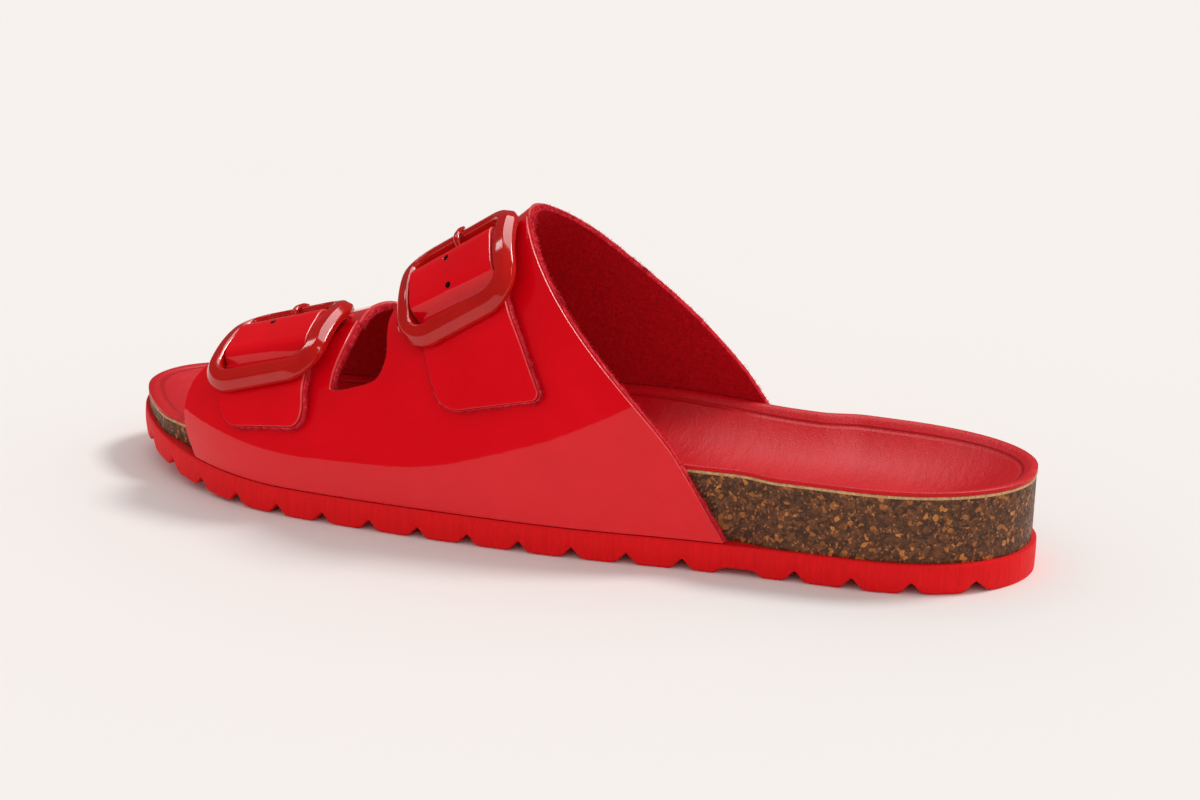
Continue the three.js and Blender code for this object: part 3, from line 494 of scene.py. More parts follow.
def shell(name, outer, inner, finishes, on=None, ids=None, bulge=0.2, rings=5, power=3.0,
          rough=0.0, marks=None):
    """Closed wall between two faces given on one grid. Its cut edge runs along every open border
    of the cells that are on, in rings from the outer to the inner face, rounded outwards by the
    bulge at most, and by noise where the edge is rough."""
    rows, columns = outer.shape[:2]
    total = rows * columns
    ids = np.arange(total).reshape(rows, columns) if ids is None else ids
    on = np.ones((rows - 1, columns - 1), bool) if on is None else on
    a, b, c, d = ids[:-1, :-1][on], ids[1:, :-1][on], ids[1:, 1:][on], ids[:-1, 1:][on]
    top = np.stack([a, b, c, d], -1)
    top_points, low_points = outer.reshape(-1, 3), inner.reshape(-1, 3)
    p = top_points[top]
    normal = np.cross(p[:, 2] - p[:, 0], p[:, 3] - p[:, 1])
    if dot(normal, (top_points - low_points)[top[:, 0]]).sum() < 0:
        top = top[:, ::-1]
    edges = np.stack([top, np.roll(top, -1, axis=1)], -1).reshape(-1, 2)
    edges = edges[edges[:, 0] != edges[:, 1]]
    code, back = edges[:, 0] * total + edges[:, 1], edges[:, 1] * total + edges[:, 0]
    border = edges[~np.isin(code, back)]
    after, before = np.zeros(total, int), np.zeros(total, int)
    after[border[:, 0]] = border[:, 1]
    before[border[:, 1]] = border[:, 0]
    rim = np.unique(border)
    heading = unit(top_points[after[rim]] - top_points[before[rim]])
    out = unit(np.cross(heading, unit(top_points[rim] - low_points[rim])))
    if rough:
        out = out * (1 + rough * wobble(top_points[rim], *EDGE_NOISE))[:, None]
    place = np.zeros(total, int)
    place[rim] = np.arange(len(rim))
    points = [top_points, low_points]
    for depth in close_ended(rings + 2)[1:-1]:
        swell = bulge * round_off(abs(2 * depth - 1), power)
        ring = top_points[rim] * (1 - depth) + low_points[rim] * depth + out * swell
        if rough:
            ring = ring + out * (rough * 0.6 * bulge * wobble(ring, *RING_NOISE))[:, None]
        points.append(ring)
    levels = [border] + [2 * total + k * len(rim) + place[border] for k in range(rings)]
    levels.append(border + total)
    wall = np.concatenate([
        np.stack([h[:, 1], h[:, 0], l[:, 0], l[:, 1]], -1)
        for h, l in zip(levels[:-1], levels[1:])])
    faces = np.concatenate([top, top[:, ::-1] + total, wall])
    which = np.concatenate([np.zeros(len(top)), np.ones(len(top)), np.full(len(wall), 2)])
    BORDERS[name] = (top_points[rim], low_points[rim], out, heading)
    if marks is not None:
        marks = marks.reshape(-1, 3)
        marks = np.concatenate([marks, marks] + [marks[rim]] * rings)
    return put(name, np.concatenate(points), faces, finishes, which, marks=marks)


def sweep(name, rings, finish, sharp=50.0, turn_rows=False, fans=True):
    """Skin through rings of points, closed round each ring; its two ends are closed by fans to
    their middles unless the rings join up or each end ring is folded flat on itself."""
    rows, columns = rings.shape[:2]
    points = rings.reshape(-1, 3)
    faces = ring_faces(rows, columns, turn_rows)
    if fans and not turn_rows:
        points = np.concatenate([points, rings[0].mean(0)[None], rings[-1].mean(0)[None]])
        j = np.arange(columns)
        j2 = (j + 1) % columns
        hub = np.full(columns, rows * columns)
        end = (rows - 1) * columns
        first = np.stack([j, j2, hub, hub], -1)
        last = np.stack([end + j2, end + j, hub + 1, hub + 1], -1)
        faces = np.concatenate([faces, first, last])
    return put(name, points, outward(points, faces), [finish], sharp=sharp)


# Finishes
def node(tree, kind, links=None, **values):
    """A node with its settings, its sockets' values and what is linked to its sockets."""
    made = tree.nodes.new(kind)
    for key, value in values.items():
        if hasattr(made, key):
            setattr(made, key, value)
        else:
            made.inputs[key.replace("_", " ")].default_value = value
    for socket, source in (links or {}).items():
        tree.links.new(source, made.inputs[socket])
    return made


class Finish:
    """A material in the making, on the coordinates of its object."""

    def __init__(self, name):
        self.material = bpy.data.materials.new(name)
        self.material.use_nodes = True
        self.tree = self.material.node_tree
        self.places = {}

    def node(self, kind, links=None, **values):
        """A node of this material."""
        return node(self.tree, kind, links, **values)

    def place(self, stretch=(1, 1, 1)):
        """Object coordinates, scaled along each axis."""
        if stretch not in self.places:
            where = self.node("ShaderNodeTexCoord").outputs["Object"]
            self.places[stretch] = self.node("ShaderNodeMapping", {"Vector": where}, Scale=stretch)
        return self.places[stretch].outputs["Vector"]

    def noise(self, scale, detail=2.0, roughness=0.5, stretch=(1, 1, 1)):
        """Noise over the object."""
        made = self.node("ShaderNodeTexNoise", {"Vector": self.place(stretch)},
                         Scale=scale, Detail=detail, Roughness=roughness)
        return made.outputs["Fac"]

    def marks(self):
        """The marks kept on a piece's points."""
        return self.node("ShaderNodeAttribute", attribute_name="marks").outputs["Vector"]

    def times(self, source, by):
        """A number times a constant."""
        made = self.node("ShaderNodeMath", {0: source}, operation="MULTIPLY")
        made.inputs[1].default_value = by
        return made.outputs[0]

    def ramp(self, source, stops, mode="LINEAR"):
        """Colour ramp of (place, colour) stops; a single number stands for a grey."""
        made = self.node("ShaderNodeValToRGB", {"Fac": source})
        made.color_ramp.interpolation = mode
        while len(made.color_ramp.elements) < len(stops):
            made.color_ramp.elements.new(0.5)
        for element, (place, colour) in zip(made.color_ramp.elements, stops):
            element.position = place
            element.color = (*(colour if isinstance(colour, tuple) else [colour] * 3), 1)
        return made.outputs["Color"]

    def two_tone(self, source, dark, light):
        """Colour ramp over the middle of a noise."""
        return self.ramp(source, [(0.3, dark), (0.7, light)])

    def mixed(self, factor, a, b, blend="MIX"):
        """Colour mix of two sockets or colours."""
        made = self.node("ShaderNodeMix", data_type="RGBA", blend_type=blend)
        for socket, value in ((made.inputs[0], factor), (made.inputs[6], a), (made.inputs[7], b)):
            if isinstance(value, bpy.types.NodeSocket):
                self.tree.links.new(value, socket)
            else:
                socket.default_value = value if isinstance(value, float) else (*value, 1)
        return made.outputs[2]

    def bump(self, height, strength, distance, normal=None):
        """Bump from a height, over another normal where given."""
        links = {"Height": height} | ({"Normal": normal} if normal else {})
        made = self.node("ShaderNodeBump", links, Strength=strength, Distance=distance)
        return made.outputs["Normal"]

    def done(self, links, **values):
        """The material, once its shader has its links and its constants."""
        shader = self.tree.nodes["Principled BSDF"]
        for socket, source in links.items():
            self.tree.links.new(source, shader.inputs[socket])
        for key, value in values.items():
            shader.inputs[key.replace("_", " ")].default_value = value
        return self.material


def patent_finish(name, punched=False):
    """Deep red patent leather: a clear hard coat with a very slight orange peel, and where it is
    punched, round holes with a pressed lip, their dark insides painted on as shade."""
    f = Finish(name)
    colour = f.two_tone(f.noise(60, 3), (0.80, 0.0014, 0.0080), (0.87, 0.0022, 0.0105))
    coat = f.bump(f.noise(300, 2), 0.0025, 0.003, f.bump(f.noise(26, 1), 0.012, 0.010))
    if punched:
        far = f.node("ShaderNodeVectorMath", {0: f.marks()}, operation="LENGTH")
        share = f.times(far.outputs["Value"], 0.25)
        # Painted shade: each hole's inside is a dark disc painted on the face, as the mesh has no
        # hole
        inside = f.ramp(share, [(0.185, 1), (0.225, 0)])
        colour = f.mixed(inside, colour, (0.018, 0.0004, 0.0008))
        lip = f.ramp(share, [(0.0, 0), (0.20, 0), (0.27, 1), (0.42, 0.8)])
        coat = f.bump(lip, 0.35, 0.0006, coat)
    normal = f.bump(f.noise(240, 2), 0.05, 0.002)
    return f.done({"Base Color": colour, "Normal": normal, "Coat Normal": coat}, Roughness=0.5,
                  Specular_IOR_Level=0.0, Coat_Weight=1.0, Coat_Roughness=0.032, Coat_IOR=1.41)


def cut_finish():
    """Cut edge of the patent leather: paler than its face, a painted highlight of its clear film
    catching the light in a pale thin line.
    """
    f = Finish("patent_cut_edge")
    # Painted highlight: the edge's colour is paler and pinker than the leather's face
    colour = f.two_tone(f.noise(400, 2), (0.82, 0.045, 0.045), (0.88, 0.10, 0.09))
    return f.done({"Base Color": colour, "Normal": f.bump(f.noise(700, 2), 0.10, 0.001)},
                  Roughness=0.35, Coat_Weight=0.5, Coat_Roughness=0.12)


def felt_finish(name, painted_fibre_sheen=False):
    """Red felt: matted fibres with a soft sheen; the finish for stray fibres and cut edges is the
    same red made brighter and pinker, a painted sheen of fibre ends catching the light.
    """
    f = Finish(name)
    coarse, fine = f.noise(800, 4, 0.7), f.noise(2600, 3, 0.8, (1, 3, 1))
    # Painted sheen: a brighter, pinker ramp for fibre ends catching the light
    if painted_fibre_sheen:
        colour = f.ramp(coarse, [
            (0.3, (0.66, 0.006, 0.022)), (0.55, (0.88, 0.030, 0.052)), (0.78, (1.0, 0.17, 0.19))])
    else:
        dense = f.ramp(coarse, [
            (0.25, (0.33, 0.001, 0.003)), (0.5, (0.56, 0.0015, 0.007)),
            (0.75, (0.76, 0.008, 0.018))])
        tufts = f.ramp(fine, [(0.35, (0.30, 0.001, 0.004)), (0.7, (0.86, 0.020, 0.036))])
        colour = f.mixed(0.4, dense, tufts)
    normal = f.bump(fine, 0.6, 0.0003, f.bump(coarse, 0.8, 0.0008))
    return f.done({"Base Color": colour, "Normal": normal}, Roughness=0.95, Specular_IOR_Level=0.1,
                  Sheen_Weight=0.22, Sheen_Roughness=0.45, Sheen_Tint=(1.0, 0.08, 0.10, 1))


def cork_finish():
    """Ground cork: dark and light crumbs of several sizes in a brown binder, a little pitted."""
    f = Finish("ground_cork")
    warp = f.node("ShaderNodeTexNoise", {"Vector": f.place()}, Scale=500.0, Detail=2.0)
    bent = f.node("ShaderNodeVectorMath", {0: warp.outputs["Color"], 2: f.place()},
                  operation="MULTIPLY_ADD")
    bent.inputs[1].default_value = (0.0012, 0.0012, 0.0012)

    def crumbs(scale, channel):
        """Cells: a random number for each, and the distance from its middle."""
        cells = f.node("ShaderNodeTexVoronoi", {"Vector": bent.outputs["Vector"]},
                       Scale=scale, Randomness=1.0)
        split = f.node("ShaderNodeSeparateColor", {"Color": cells.outputs["Color"]})
        return split.outputs[channel], cells.outputs["Distance"]

    large, depth = crumbs(900.0, "Red")
    small, _ = crumbs(2100.0, "Green")
    base = f.ramp(large, [
        (0.0, (0.0649, 0.0225, 0.0078)), (0.30, (0.118, 0.0396, 0.0133)),
        (0.55, (0.171, 0.0576, 0.0187)), (0.76, (0.283, 0.09, 0.025)),
        (0.89, (0.614, 0.198, 0.039)), (0.96, (0.92, 0.324, 0.0663))], "CONSTANT")
    dust = f.ramp(small, [
        (0.0, (0.0649, 0.0252, 0.0101)), (0.5, (0.147, 0.054, 0.0211)),
        (0.84, (0.307, 0.108, 0.0351)), (0.945, (0.708, 0.261, 0.0702))], "CONSTANT")
    normal = f.bump(f.noise(1800, 3), 0.4, 0.0003, f.bump(depth, 0.5, 0.0006))
    return f.done({"Base Color": f.mixed(0.45, base, dust), "Normal": normal}, Roughness=0.7,
                  Specular_IOR_Level=0.25, Coat_Weight=0.2, Coat_Roughness=0.25)


def jute_finish():
    """Tan jute cloth seen on its cut edge."""
    f = Finish("jute_layer")
    yarn = f.noise(1500, 3, stretch=(1, 1, 0.4))
    colour = f.two_tone(yarn, (0.46, 0.24, 0.105), (0.80, 0.47, 0.22))
    return f.done({"Base Color": colour, "Normal": f.bump(yarn, 0.6, 0.0005)}, Roughness=0.9)


def cover_finish():
    """Red leather of the footbed: fine grain, satin, faint creases across, and a line pressed a
    few millimetres inside the rim, which its first mark gives the distance to; its groove is
    darkened as painted shade."""
    f = Finish("footbed_leather")
    cells = f.node("ShaderNodeTexVoronoi", {"Vector": f.place()},
                   Scale=1100.0, feature="DISTANCE_TO_EDGE")
    grain, cloud = cells.outputs["Distance"], f.noise(35, 4, 0.6)
    colour = f.two_tone(cloud, (0.60, 0.0024, 0.0090), (0.74, 0.0050, 0.014))
    pores = f.ramp(grain, [(0.0, (0.44, 0.001, 0.005)), (0.18, (0.72, 0.004, 0.012))])
    parts = f.node("ShaderNodeSeparateXYZ", {0: f.marks()})
    share = f.times(parts.outputs["X"], 0.1)
    pressed = f.ramp(share, [(0.30, 1), (0.345, 0), (0.375, 0), (0.43, 1)])
    # Painted shade: the colour is darkened along the pressed line's groove
    colour = f.mixed(0.18, f.mixed(0.3, colour, pores), pressed, "MULTIPLY")
    creases = f.noise(110, 5, 0.65, (2.4, 0.8, 1))
    waves = f.bump(creases, 0.22, 0.0016, f.bump(grain, 0.30, 0.0003))
    return f.done({"Base Color": colour, "Normal": f.bump(pressed, 0.6, 0.0005, waves),
                   "Roughness": f.two_tone(cloud, 0.36, 0.48)}, Specular_IOR_Level=0.20)


def foam_finish():
    """Bright red sole foam, sanded on its side: fine upright scratches and closed cells."""
    f = Finish("sole_foam")
    strokes = f.noise(1400, 3, 0.6, (1, 1, 0.05))
    colour = f.two_tone(strokes, (0.78, 0.0012, 0.0040), (0.92, 0.0030, 0.0070))
    normal = f.bump(f.noise(2600, 2), 0.25, 0.0003, f.bump(strokes, 0.35, 0.0006))
    return f.done({"Base Color": colour, "Normal": normal}, Roughness=0.62, Specular_IOR_Level=0.2)


def enamel_finish():
    """Brick red enamel on the buckles."""
    f = Finish("buckle_enamel")
    colour = f.two_tone(f.noise(120, 3), (0.48, 0.0060, 0.0042), (0.57, 0.0085, 0.0056))
    return f.done({"Base Color": colour, "Normal": f.bump(f.noise(260, 2), 0.05, 0.001)},
                  Roughness=0.40, Specular_IOR_Level=0.0, Coat_Weight=1.0, Coat_Roughness=0.09)


def floor_finish():
    """Warm pale floor."""
    f = Finish("pale_floor")
    colour = f.two_tone(f.noise(3, 2), (0.885, 0.858, 0.838), (0.890, 0.863, 0.843))
    return f.done({"Base Color": colour}, Roughness=0.9, Specular_IOR_Level=0.0)


PATENT, PUNCHED = patent_finish("patent_leather"), patent_finish("patent_leather_punched", True)
# FIBRE is the felt made brighter with painted sheen, used on the fibres and the felt's cut edges
FELT, FIBRE = felt_finish("felt_lining"), felt_finish("felt_fibres", True)
CUT, CORK, JUTE = cut_finish(), cork_finish(), jute_finish()
COVER, FOAM, ENAMEL = cover_finish(), foam_finish(), enamel_finish()


# Sole
def lug_rise(x):
    """Depth of the grooves between the lugs: an upturned V with eased corners at every pitch, and
    one wide shallow recess at the waist."""
    index = np.round((x - LUG_FIRST) / LUG_PITCH)
    off = np.abs(x - LUG_FIRST - index * LUG_PITCH)
    inside = np.clip(1 - off / LUG_HALF_MOUTH, 0, 1)
    vee = LUG_CORNER_RISE + (LUG_DEPTH - LUG_CORNER_RISE) * inside**0.9
    corner = LUG_CORNER_RISE * np.clip(1 - (off - LUG_HALF_MOUTH) / LUG_CORNER, 0, 1) ** 2
    waist = WAIST_DEPTH * (1 - np.clip(off / WAIST_HALF, 0, 1) ** 4)
    return np.where(index == WAIST_LUG, waist, np.where(off < LUG_HALF_MOUTH, vee, corner))


def sole_stations(step):
    """Fractions of the length an even step apart, closer together in both rounded ends."""
    middle = np.arange(SOLE_END, 1 - SOLE_END, step / LENGTH)
    end = SOLE_END * quarter_wave(26)
    return np.concatenate([end[:-1], middle, 1 - end[::-1]])


def make_outsole():
    """Rings across the sole at each station: along the underside from side to side with the lugs'
    depth, up one side wall with rounded edges, back over the top and down the other wall."""
    t = sole_stations(SOLE_STEP)[:, None]
    low, high = sole_edge(t, -1), sole_edge(t, 1)
    middle, half = (low + high) / 2, (high - low) / 2
    bottom, top = sole_rise(t) + lug_rise(along(t)), sole_top(t)
    flat, over = (np.maximum(half - r, 0) for r in (SOLE_EDGE_ROUND, SOLE_TOP_ROUND))
    tall = top - bottom - SOLE_EDGE_ROUND - SOLE_TOP_ROUND
    wall = []
    for a in np.linspace(0, np.pi / 2, 6):
        wide = flat + np.minimum(SOLE_EDGE_ROUND, half) * np.sin(a)
        wall.append((wide, bottom + SOLE_EDGE_ROUND * (1 - np.cos(a))))
    for s in np.linspace(0.15, 0.85, 6):
        wide = half + np.minimum(SOLE_BELLY * np.sin(np.pi * s), half)
        wall.append((wide, bottom + SOLE_EDGE_ROUND + s * tall))
    wall += [(half, top - SOLE_TOP_ROUND), (over, top)]
    turn = np.linspace(UNDERSIDE_END, np.pi - UNDERSIDE_END, 17)
    across = -np.cos(turn) / np.cos(UNDERSIDE_END)
    rows = [(w * flat, bottom) for w in across] + wall
    rows += [(w * over, top) for w in np.linspace(0.9, -0.9, 7)]
    rows += [(-y, z) for y, z in wall[::-1]]
    rings = np.stack([np.concatenate([along(t), middle + y, z], 1) for y, z in rows], 1)
    piece = sweep("sole_foam", rings, FOAM, sharp=32, fans=False)
    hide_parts("outsole")


# Footbed
def covered(t, side):
    """1 where the upper covers the footbed's side, easing to 0 past its ends."""
    ends = OUTER_EDGES[:2] if side < 0 else OUTER_EDGES[-2:][::-1]
    first = min(ends[0, 1], ends[1, 1]) - COVER_MARGIN
    last = ends[0, 2] + COVER_MARGIN
    return ease(t, first - BLEND, first) * (1 - ease(t, last, last + BLEND))


def footbed_side(t, side, z):
    """Y of the footbed's side at t of its own outline: the outline itself where it is bare, and a
    gap inside the upper's inner face where that covers it. The section's curve is searched by
    halves for the height z, and its lean is taken off the sole's edge."""
    at = 0.5 + (t - 0.5) * FOOTBED_SCALE
    tc = np.clip(at, COVERED_FROM, COVERED_TO)
    reach = z - sole_top(at) + sole_top(tc)
    low, high = np.zeros_like(reach), np.ones_like(reach)
    for _ in range(22):
        mid = (low + high) / 2
        under = last_point(tc, side * (1 - mid))[..., 2] < reach
        low, high = np.where(under, mid, low), np.where(under, high, mid)
    reached = last_point(tc, side * (1 - low))[..., 1]
    lean = side * (sole_edge(tc, side) - side * SOLE_PROUD - reached)
    under = SOLE_PROUD + WALL + GAP + lean * FOOTBED_LEAN + FOOTBED_CLEAR
    share = covered(at, side)
    bare, hidden = sole_edge(t, side, FOOTBED_INSET), sole_edge(at, side) - side * under
    return (1 - share) * bare + share * hidden


def footbed_place(t, w, z, lateral_z=None, medial_z=None):
    """Point on the footbed at t of its outline, place across w and height z; its sides are taken
    at their own heights where those are given."""
    lateral_z = z if lateral_z is None else lateral_z
    medial_z = lateral_z if medial_z is None else medial_z
    low, high = footbed_side(t, -1, lateral_z), footbed_side(t, 1, medial_z)
    y = low + (high - low) * (0.5 + 0.5 * w)
    return np.stack([along(t) * FOOTBED_SCALE + 0 * y, y, z + 0 * y], -1)


def rim_distance(t, w):
    """Distance from the rim's line, seen from above: the least over its short segments."""
    s = close_ended(160)
    lateral, medial = smooth(FOOTBED, 1, s), smooth(FOOTBED, 3, s)
    sides = [footbed_place(s, side, 0 * s, lateral, medial)[:, :2] for side in (-1.0, 1.0)]
    line = np.concatenate([sides[0], sides[1][::-1]])
    step = np.roll(line, -1, axis=0) - line
    points = footbed_place(t, w, 0 * t, smooth(FOOTBED, 1, t), smooth(FOOTBED, 3, t))
    points = points[..., :2].reshape(-1, 1, 2)
    share = np.clip(dot(points - line, step) / np.maximum(dot(step, step), 1e-9), 0, 1)
    away = np.linalg.norm(points - line - share[..., None] * step, axis=-1)
    return away.min(1).reshape(t.shape)


def footbed_top(t, w):
    """Height of the footbed's top: it climbs from the middle to the rim as the nearness to the rim
    to a power, and its outermost edge turns down."""
    medial = ease(w, -0.6, 0.6)
    rim = smooth(FOOTBED, 1, t) * (1 - medial) + smooth(FOOTBED, 3, t) * medial
    middle = smooth(FOOTBED, 2, t)
    power = smooth(FOOTBED, 4, t) * (1 - medial) + smooth(FOOTBED, 5, t) * medial
    near = 1 - np.clip(rim_distance(t, w) / RIM_REACH, 0, 1)
    over = np.clip((near - RIM_EDGE) / (1 - RIM_EDGE), 0, None)
    return middle + (rim - middle) * near**power - RIM_DROP * over * over


def footbed_layer(name, finish, depth_top, depth_low=None):
    """Closed layer of the footbed between two depths below its top, or down to the sole."""
    t = close_ended(170)[:, None] * 0.9996 + 0.0002
    w = side_to_side(61)[None, :]
    t, w = np.broadcast_arrays(t, w)
    height = footbed_top(t, w)
    top = footbed_place(t, w, height - depth_top)
    if depth_low is None:
        low = footbed_place(t, w, sole_top(0.5 + (t - 0.5) * FOOTBED_SCALE) + FOOTBED_LIFT)
        swell, rings = CORK_SWELL, 14
    else:
        low = footbed_place(t, w, height - depth_low)
        swell, rings = LAYER_SWELL, 3
    marks = np.stack([rim_distance(t, w), 0 * t, 0 * t], -1)
    return shell(name, top, low, [finish] * 3, bulge=swell, rings=rings, marks=marks)


def make_footbed():
    """Leather cover, jute and cork, one under the other."""
    cover = footbed_layer("footbed_cover", COVER, 0.0, COVER_THICK)
    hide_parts("insole")
    jute = footbed_layer("jute_layer", JUTE, COVER_THICK, COVER_THICK + JUTE_THICK)
    cork = footbed_layer("cork_footbed_body", CORK, COVER_THICK + JUTE_THICK)
    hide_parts("cork_footbed")


# Upper
def gap_half(g):
    """Share of the gap's half width, rounded off at each of its floors."""
    share = 1
    for end, inwards in ((GAP_LATERAL, 1), (GAP_MEDIAL, -1)):
        a = np.clip(1 - inwards * (g - end["floor"]) / end["round"], 0, 1)
        share = share * round_off(a, end["power"])
    return share


def strip(start, end, count):
    """Places from start to end of each row, a little closer together at both ends."""
    s = close_ended(count)[None] * 0.6 + np.linspace(0, 1, count)[None] * 0.4
    return start[:, None] + (end - start)[:, None] * s


def upper_grid(grow):
    """Rows g across the foot and the t of every column: front edge to the gap, then the gap to the
    rear edge; grow moves every cut edge outwards by that many millimetres."""
    floor_l, floor_m = GAP_LATERAL["floor"], GAP_MEDIAL["floor"]
    turn_l = floor_l + GAP_LATERAL["round"] * quarter_wave(16)
    turn_m = floor_m - GAP_MEDIAL["round"] * quarter_wave(18)[::-1]
    between = np.linspace(turn_l[-1], turn_m[0], 74)[1:-1]
    clear = between[abs(between - QUARTER_END) > STEP_CLEAR]
    between = np.sort(np.concatenate([clear, QUARTER_END + STEP_ROWS]))
    g = np.concatenate([
        np.linspace(-1, floor_l, 40)[:-1], turn_l, between, turn_m, np.linspace(floor_m, 1, 36)[1:]])
    joined = (g <= floor_l + SAME_ROW) | (g >= floor_m - SAME_ROW)
    front = smooth(OUTER_EDGES, 1, g) - grow / LENGTH
    rear = smooth(OUTER_EDGES, 2, g) + grow / LENGTH
    gap_front, gap_rear = smooth(GAP_EDGES, 1, g), smooth(GAP_EDGES, 2, g)
    centre, half = (gap_front + gap_rear) / 2, (gap_rear - gap_front) / 2
    half = np.where(joined, 0, np.maximum(half * gap_half(g) - grow / LENGTH, LEAST_GAP))
    t = np.concatenate([
        strip(front, centre - half, FRONT_COLUMNS), strip(centre + half, rear, REAR_COLUMNS)], 1)
    ids = np.arange(t.size).reshape(t.shape)
    ids[joined, FRONT_COLUMNS] = ids[joined, FRONT_COLUMNS - 1]
    on = np.ones((len(g) - 1, t.shape[1] - 1), bool)
    on[:, FRONT_COLUMNS - 1] = False
    return np.broadcast_to(g[:, None], t.shape), t, on, ids


def quarter_step(g):
    """Fall of the face where the lateral quarter ends, eased out towards the crown."""
    return np.where(g > QUARTER_END + 1e-6, -QUARTER_STEP * (1 - ease(g, QUARTER_END, 0.0)), 0)


def make_upper():
    """The quarters and both straps: a patent skin outside and a felt lining inside."""
    g, t, on, ids = upper_grid(0.0)
    sunk = quarter_step(g)
    skin = shell("upper_patent", above(t, g, sunk), above(t, g, sunk - SKIN),
                 [PATENT, FELT, CUT], on, ids, bulge=CUT_SWELL, rings=3)
    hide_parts("upper")
    g, t, on, ids = upper_grid(LINING_GROW)
    sunk = quarter_step(g)
    # The lining's cut edge takes the fibre finish, brighter with painted sheen
    lining = shell("upper_felt", above(t, g, sunk - SKIN), above(t, g, sunk * 0.6 - WALL),
                   [FELT, FELT, FIBRE], on, ids, **FELT_EDGE)


def strap_grid(b, grow):
    """Rows down the strap from under the nose bar to its tail, and places across it; the tail's
    corners are quarter circles, one smaller where the buckle says so, and its end is cut at a
    slant."""
    tail = b["tail"] - grow
    corner = TAIL_CORNER * quarter_wave(14)
    straight = np.linspace(STRAP_START, tail + TAIL_CORNER, 110)[:-1]
    u = np.concatenate([straight, (tail + corner)[::-1]])
    u, w = np.broadcast_arrays(u[:, None], side_to_side(49)[None, :])
    radius = np.where(w > 0, b["corner"], TAIL_CORNER)
    near = np.clip(1 - (u - tail) / radius, 0, 1)
    v = w * (STRAP_WIDTH / 2 + grow - radius * (1 - np.sqrt(1 - near**2)))
    slant = np.where(u < 0, -b["slant"] * (v / (STRAP_WIDTH / 2)) * u / b["tail"], 0)
    return v, u, u + slant


def strap_point(b, v, u, run, depth):
    """Point of the strap a depth below its outer face: on the quarter for the tail, and on the
    rigid frame's coordinates inside the buckle, eased from one to the other."""
    inside = smooth(STRAP_IN_FRAME, 1, u)
    share = (ease(u, *JOIN_TAIL) * (1 - ease(u, *JOIN_START)))[..., None]
    settled = np.where(u < 0, TAIL_REST, START_REST - START_DIP * ease(u, *DIP))
    on_quarter = strap_place(b, v, run, settled - depth)
    return on_quarter * (1 - share) + frame_place(b, v, run, inside - depth) * share


def make_straps():
    """Each strap's end: a patent skin with its punched holes, their dark insides painted as shade,
    and felt under it.
    """
    for name, b in BUCKLES.items():
        v, u, run = strap_grid(b, 0.0)
        holes = np.pad(PINHOLES[name], ((0, 0), (0, 1)))
        away = np.stack([v, run, 0 * v], -1)[..., None, :] - holes
        nearest = np.linalg.norm(away, axis=-1).argmin(-1)
        marks = np.take_along_axis(away, nearest[..., None, None], -2)[..., 0, :]
        faces = [strap_point(b, v, u, run, depth) for depth in (0.0, SKIN)]
        skin = shell("strap_patent_" + name, *faces, [PUNCHED, FELT, CUT],
                     bulge=CUT_SWELL, rings=3, marks=marks)
        v, u, run = strap_grid(b, STRAP_GROW)
        faces = [strap_point(b, v, u, run, depth) for depth in (SKIN, STRAP_THICK)]
        # The felt's cut edge takes the fibre finish, brighter with painted sheen
        felt = shell("strap_felt_" + name, *faces, [FELT, FELT, FIBRE], **FELT_EDGE)


def make_fibres(name, borders, count, seed):
    """Loose fibres on the felt's cut edges: each a thin three-sided spike of two joints that leans
    out of the edge and bends, all from one seeded generator."""
    rng = np.random.default_rng(seed)
    top, low, out, heading = (np.concatenate([BORDERS[b][k] for b in borders]) for k in range(4))
    pick = rng.integers(0, len(top), count)
    depth = rng.uniform(0.05, 1.0, count)[:, None]
    spot = top[pick] * (1 - depth) + low[pick] * depth
    spot = spot + heading[pick] * rng.uniform(-1.0, 1.0, count)[:, None]
    spot = spot + out[pick] * (0.30 * (1 - (2 * depth - 1) ** 2) - 0.05)
    lean = unit(out[pick] + FIBRE_LEAN * rng.normal(size=(count, 3)))
    bend = unit(rng.normal(size=(count, 3)))
    length, thick = (rng.uniform(*size, count)[:, None] for size in (FIBRE_LENGTH, FIBRE_THICK))
    side = unit(np.cross(lean, bend))
    other = np.cross(lean, side)
    joint = spot + lean * length * 0.55
    end = joint + unit(lean + FIBRE_BEND * bend) * length * 0.5
    turn = np.radians([0, 120, 240])[None, :, None]
    round_about = (side[:, None] * np.cos(turn) + other[:, None] * np.sin(turn)) * thick[:, None]
    points = np.concatenate([
        spot[:, None] + round_about, joint[:, None] + round_about * 0.7, end[:, None]], 1)
    walls = [[0, 1, 4, 3], [1, 2, 5, 4], [2, 0, 3, 5]]
    ends = [[3, 4, 6, 6], [4, 5, 6, 6], [5, 3, 6, 6], [2, 1, 0, 0]]
    faces = (np.arange(count)[:, None, None] * 7 + np.array(walls + ends)).reshape(-1, 4)
    piece = put(name, points.reshape(-1, 3), faces, [FIBRE], sharp=180)


# Buckles
def rounded_rectangle(wide, long, corner, side_points=41, corner_points=16):
    """Loop of four straight sides and four quarter circles, from the middle of one side."""
    x, y = wide / 2 - corner, long / 2 - corner
    loop = []
    quarters = (
        (x, -y, -90, (0, 1)), (x, y, 0, (-1, 0)), (-x, y, 90, (0, -1)), (-x, -y, 180, (1, 0)))
    for middle_x, middle_y, start, way in quarters:
        a = np.radians(start + np.linspace(0, 90, corner_points))
        arc = np.stack([middle_x + corner * np.cos(a), middle_y + corner * np.sin(a)], -1)
        far = 2 * (y if way[0] == 0 else x)
        run = arc[-1] + np.linspace(0, 1, side_points + 2)[1:-1, None] * far * np.array(way)
        loop += [arc, run]
    return np.concatenate(loop)


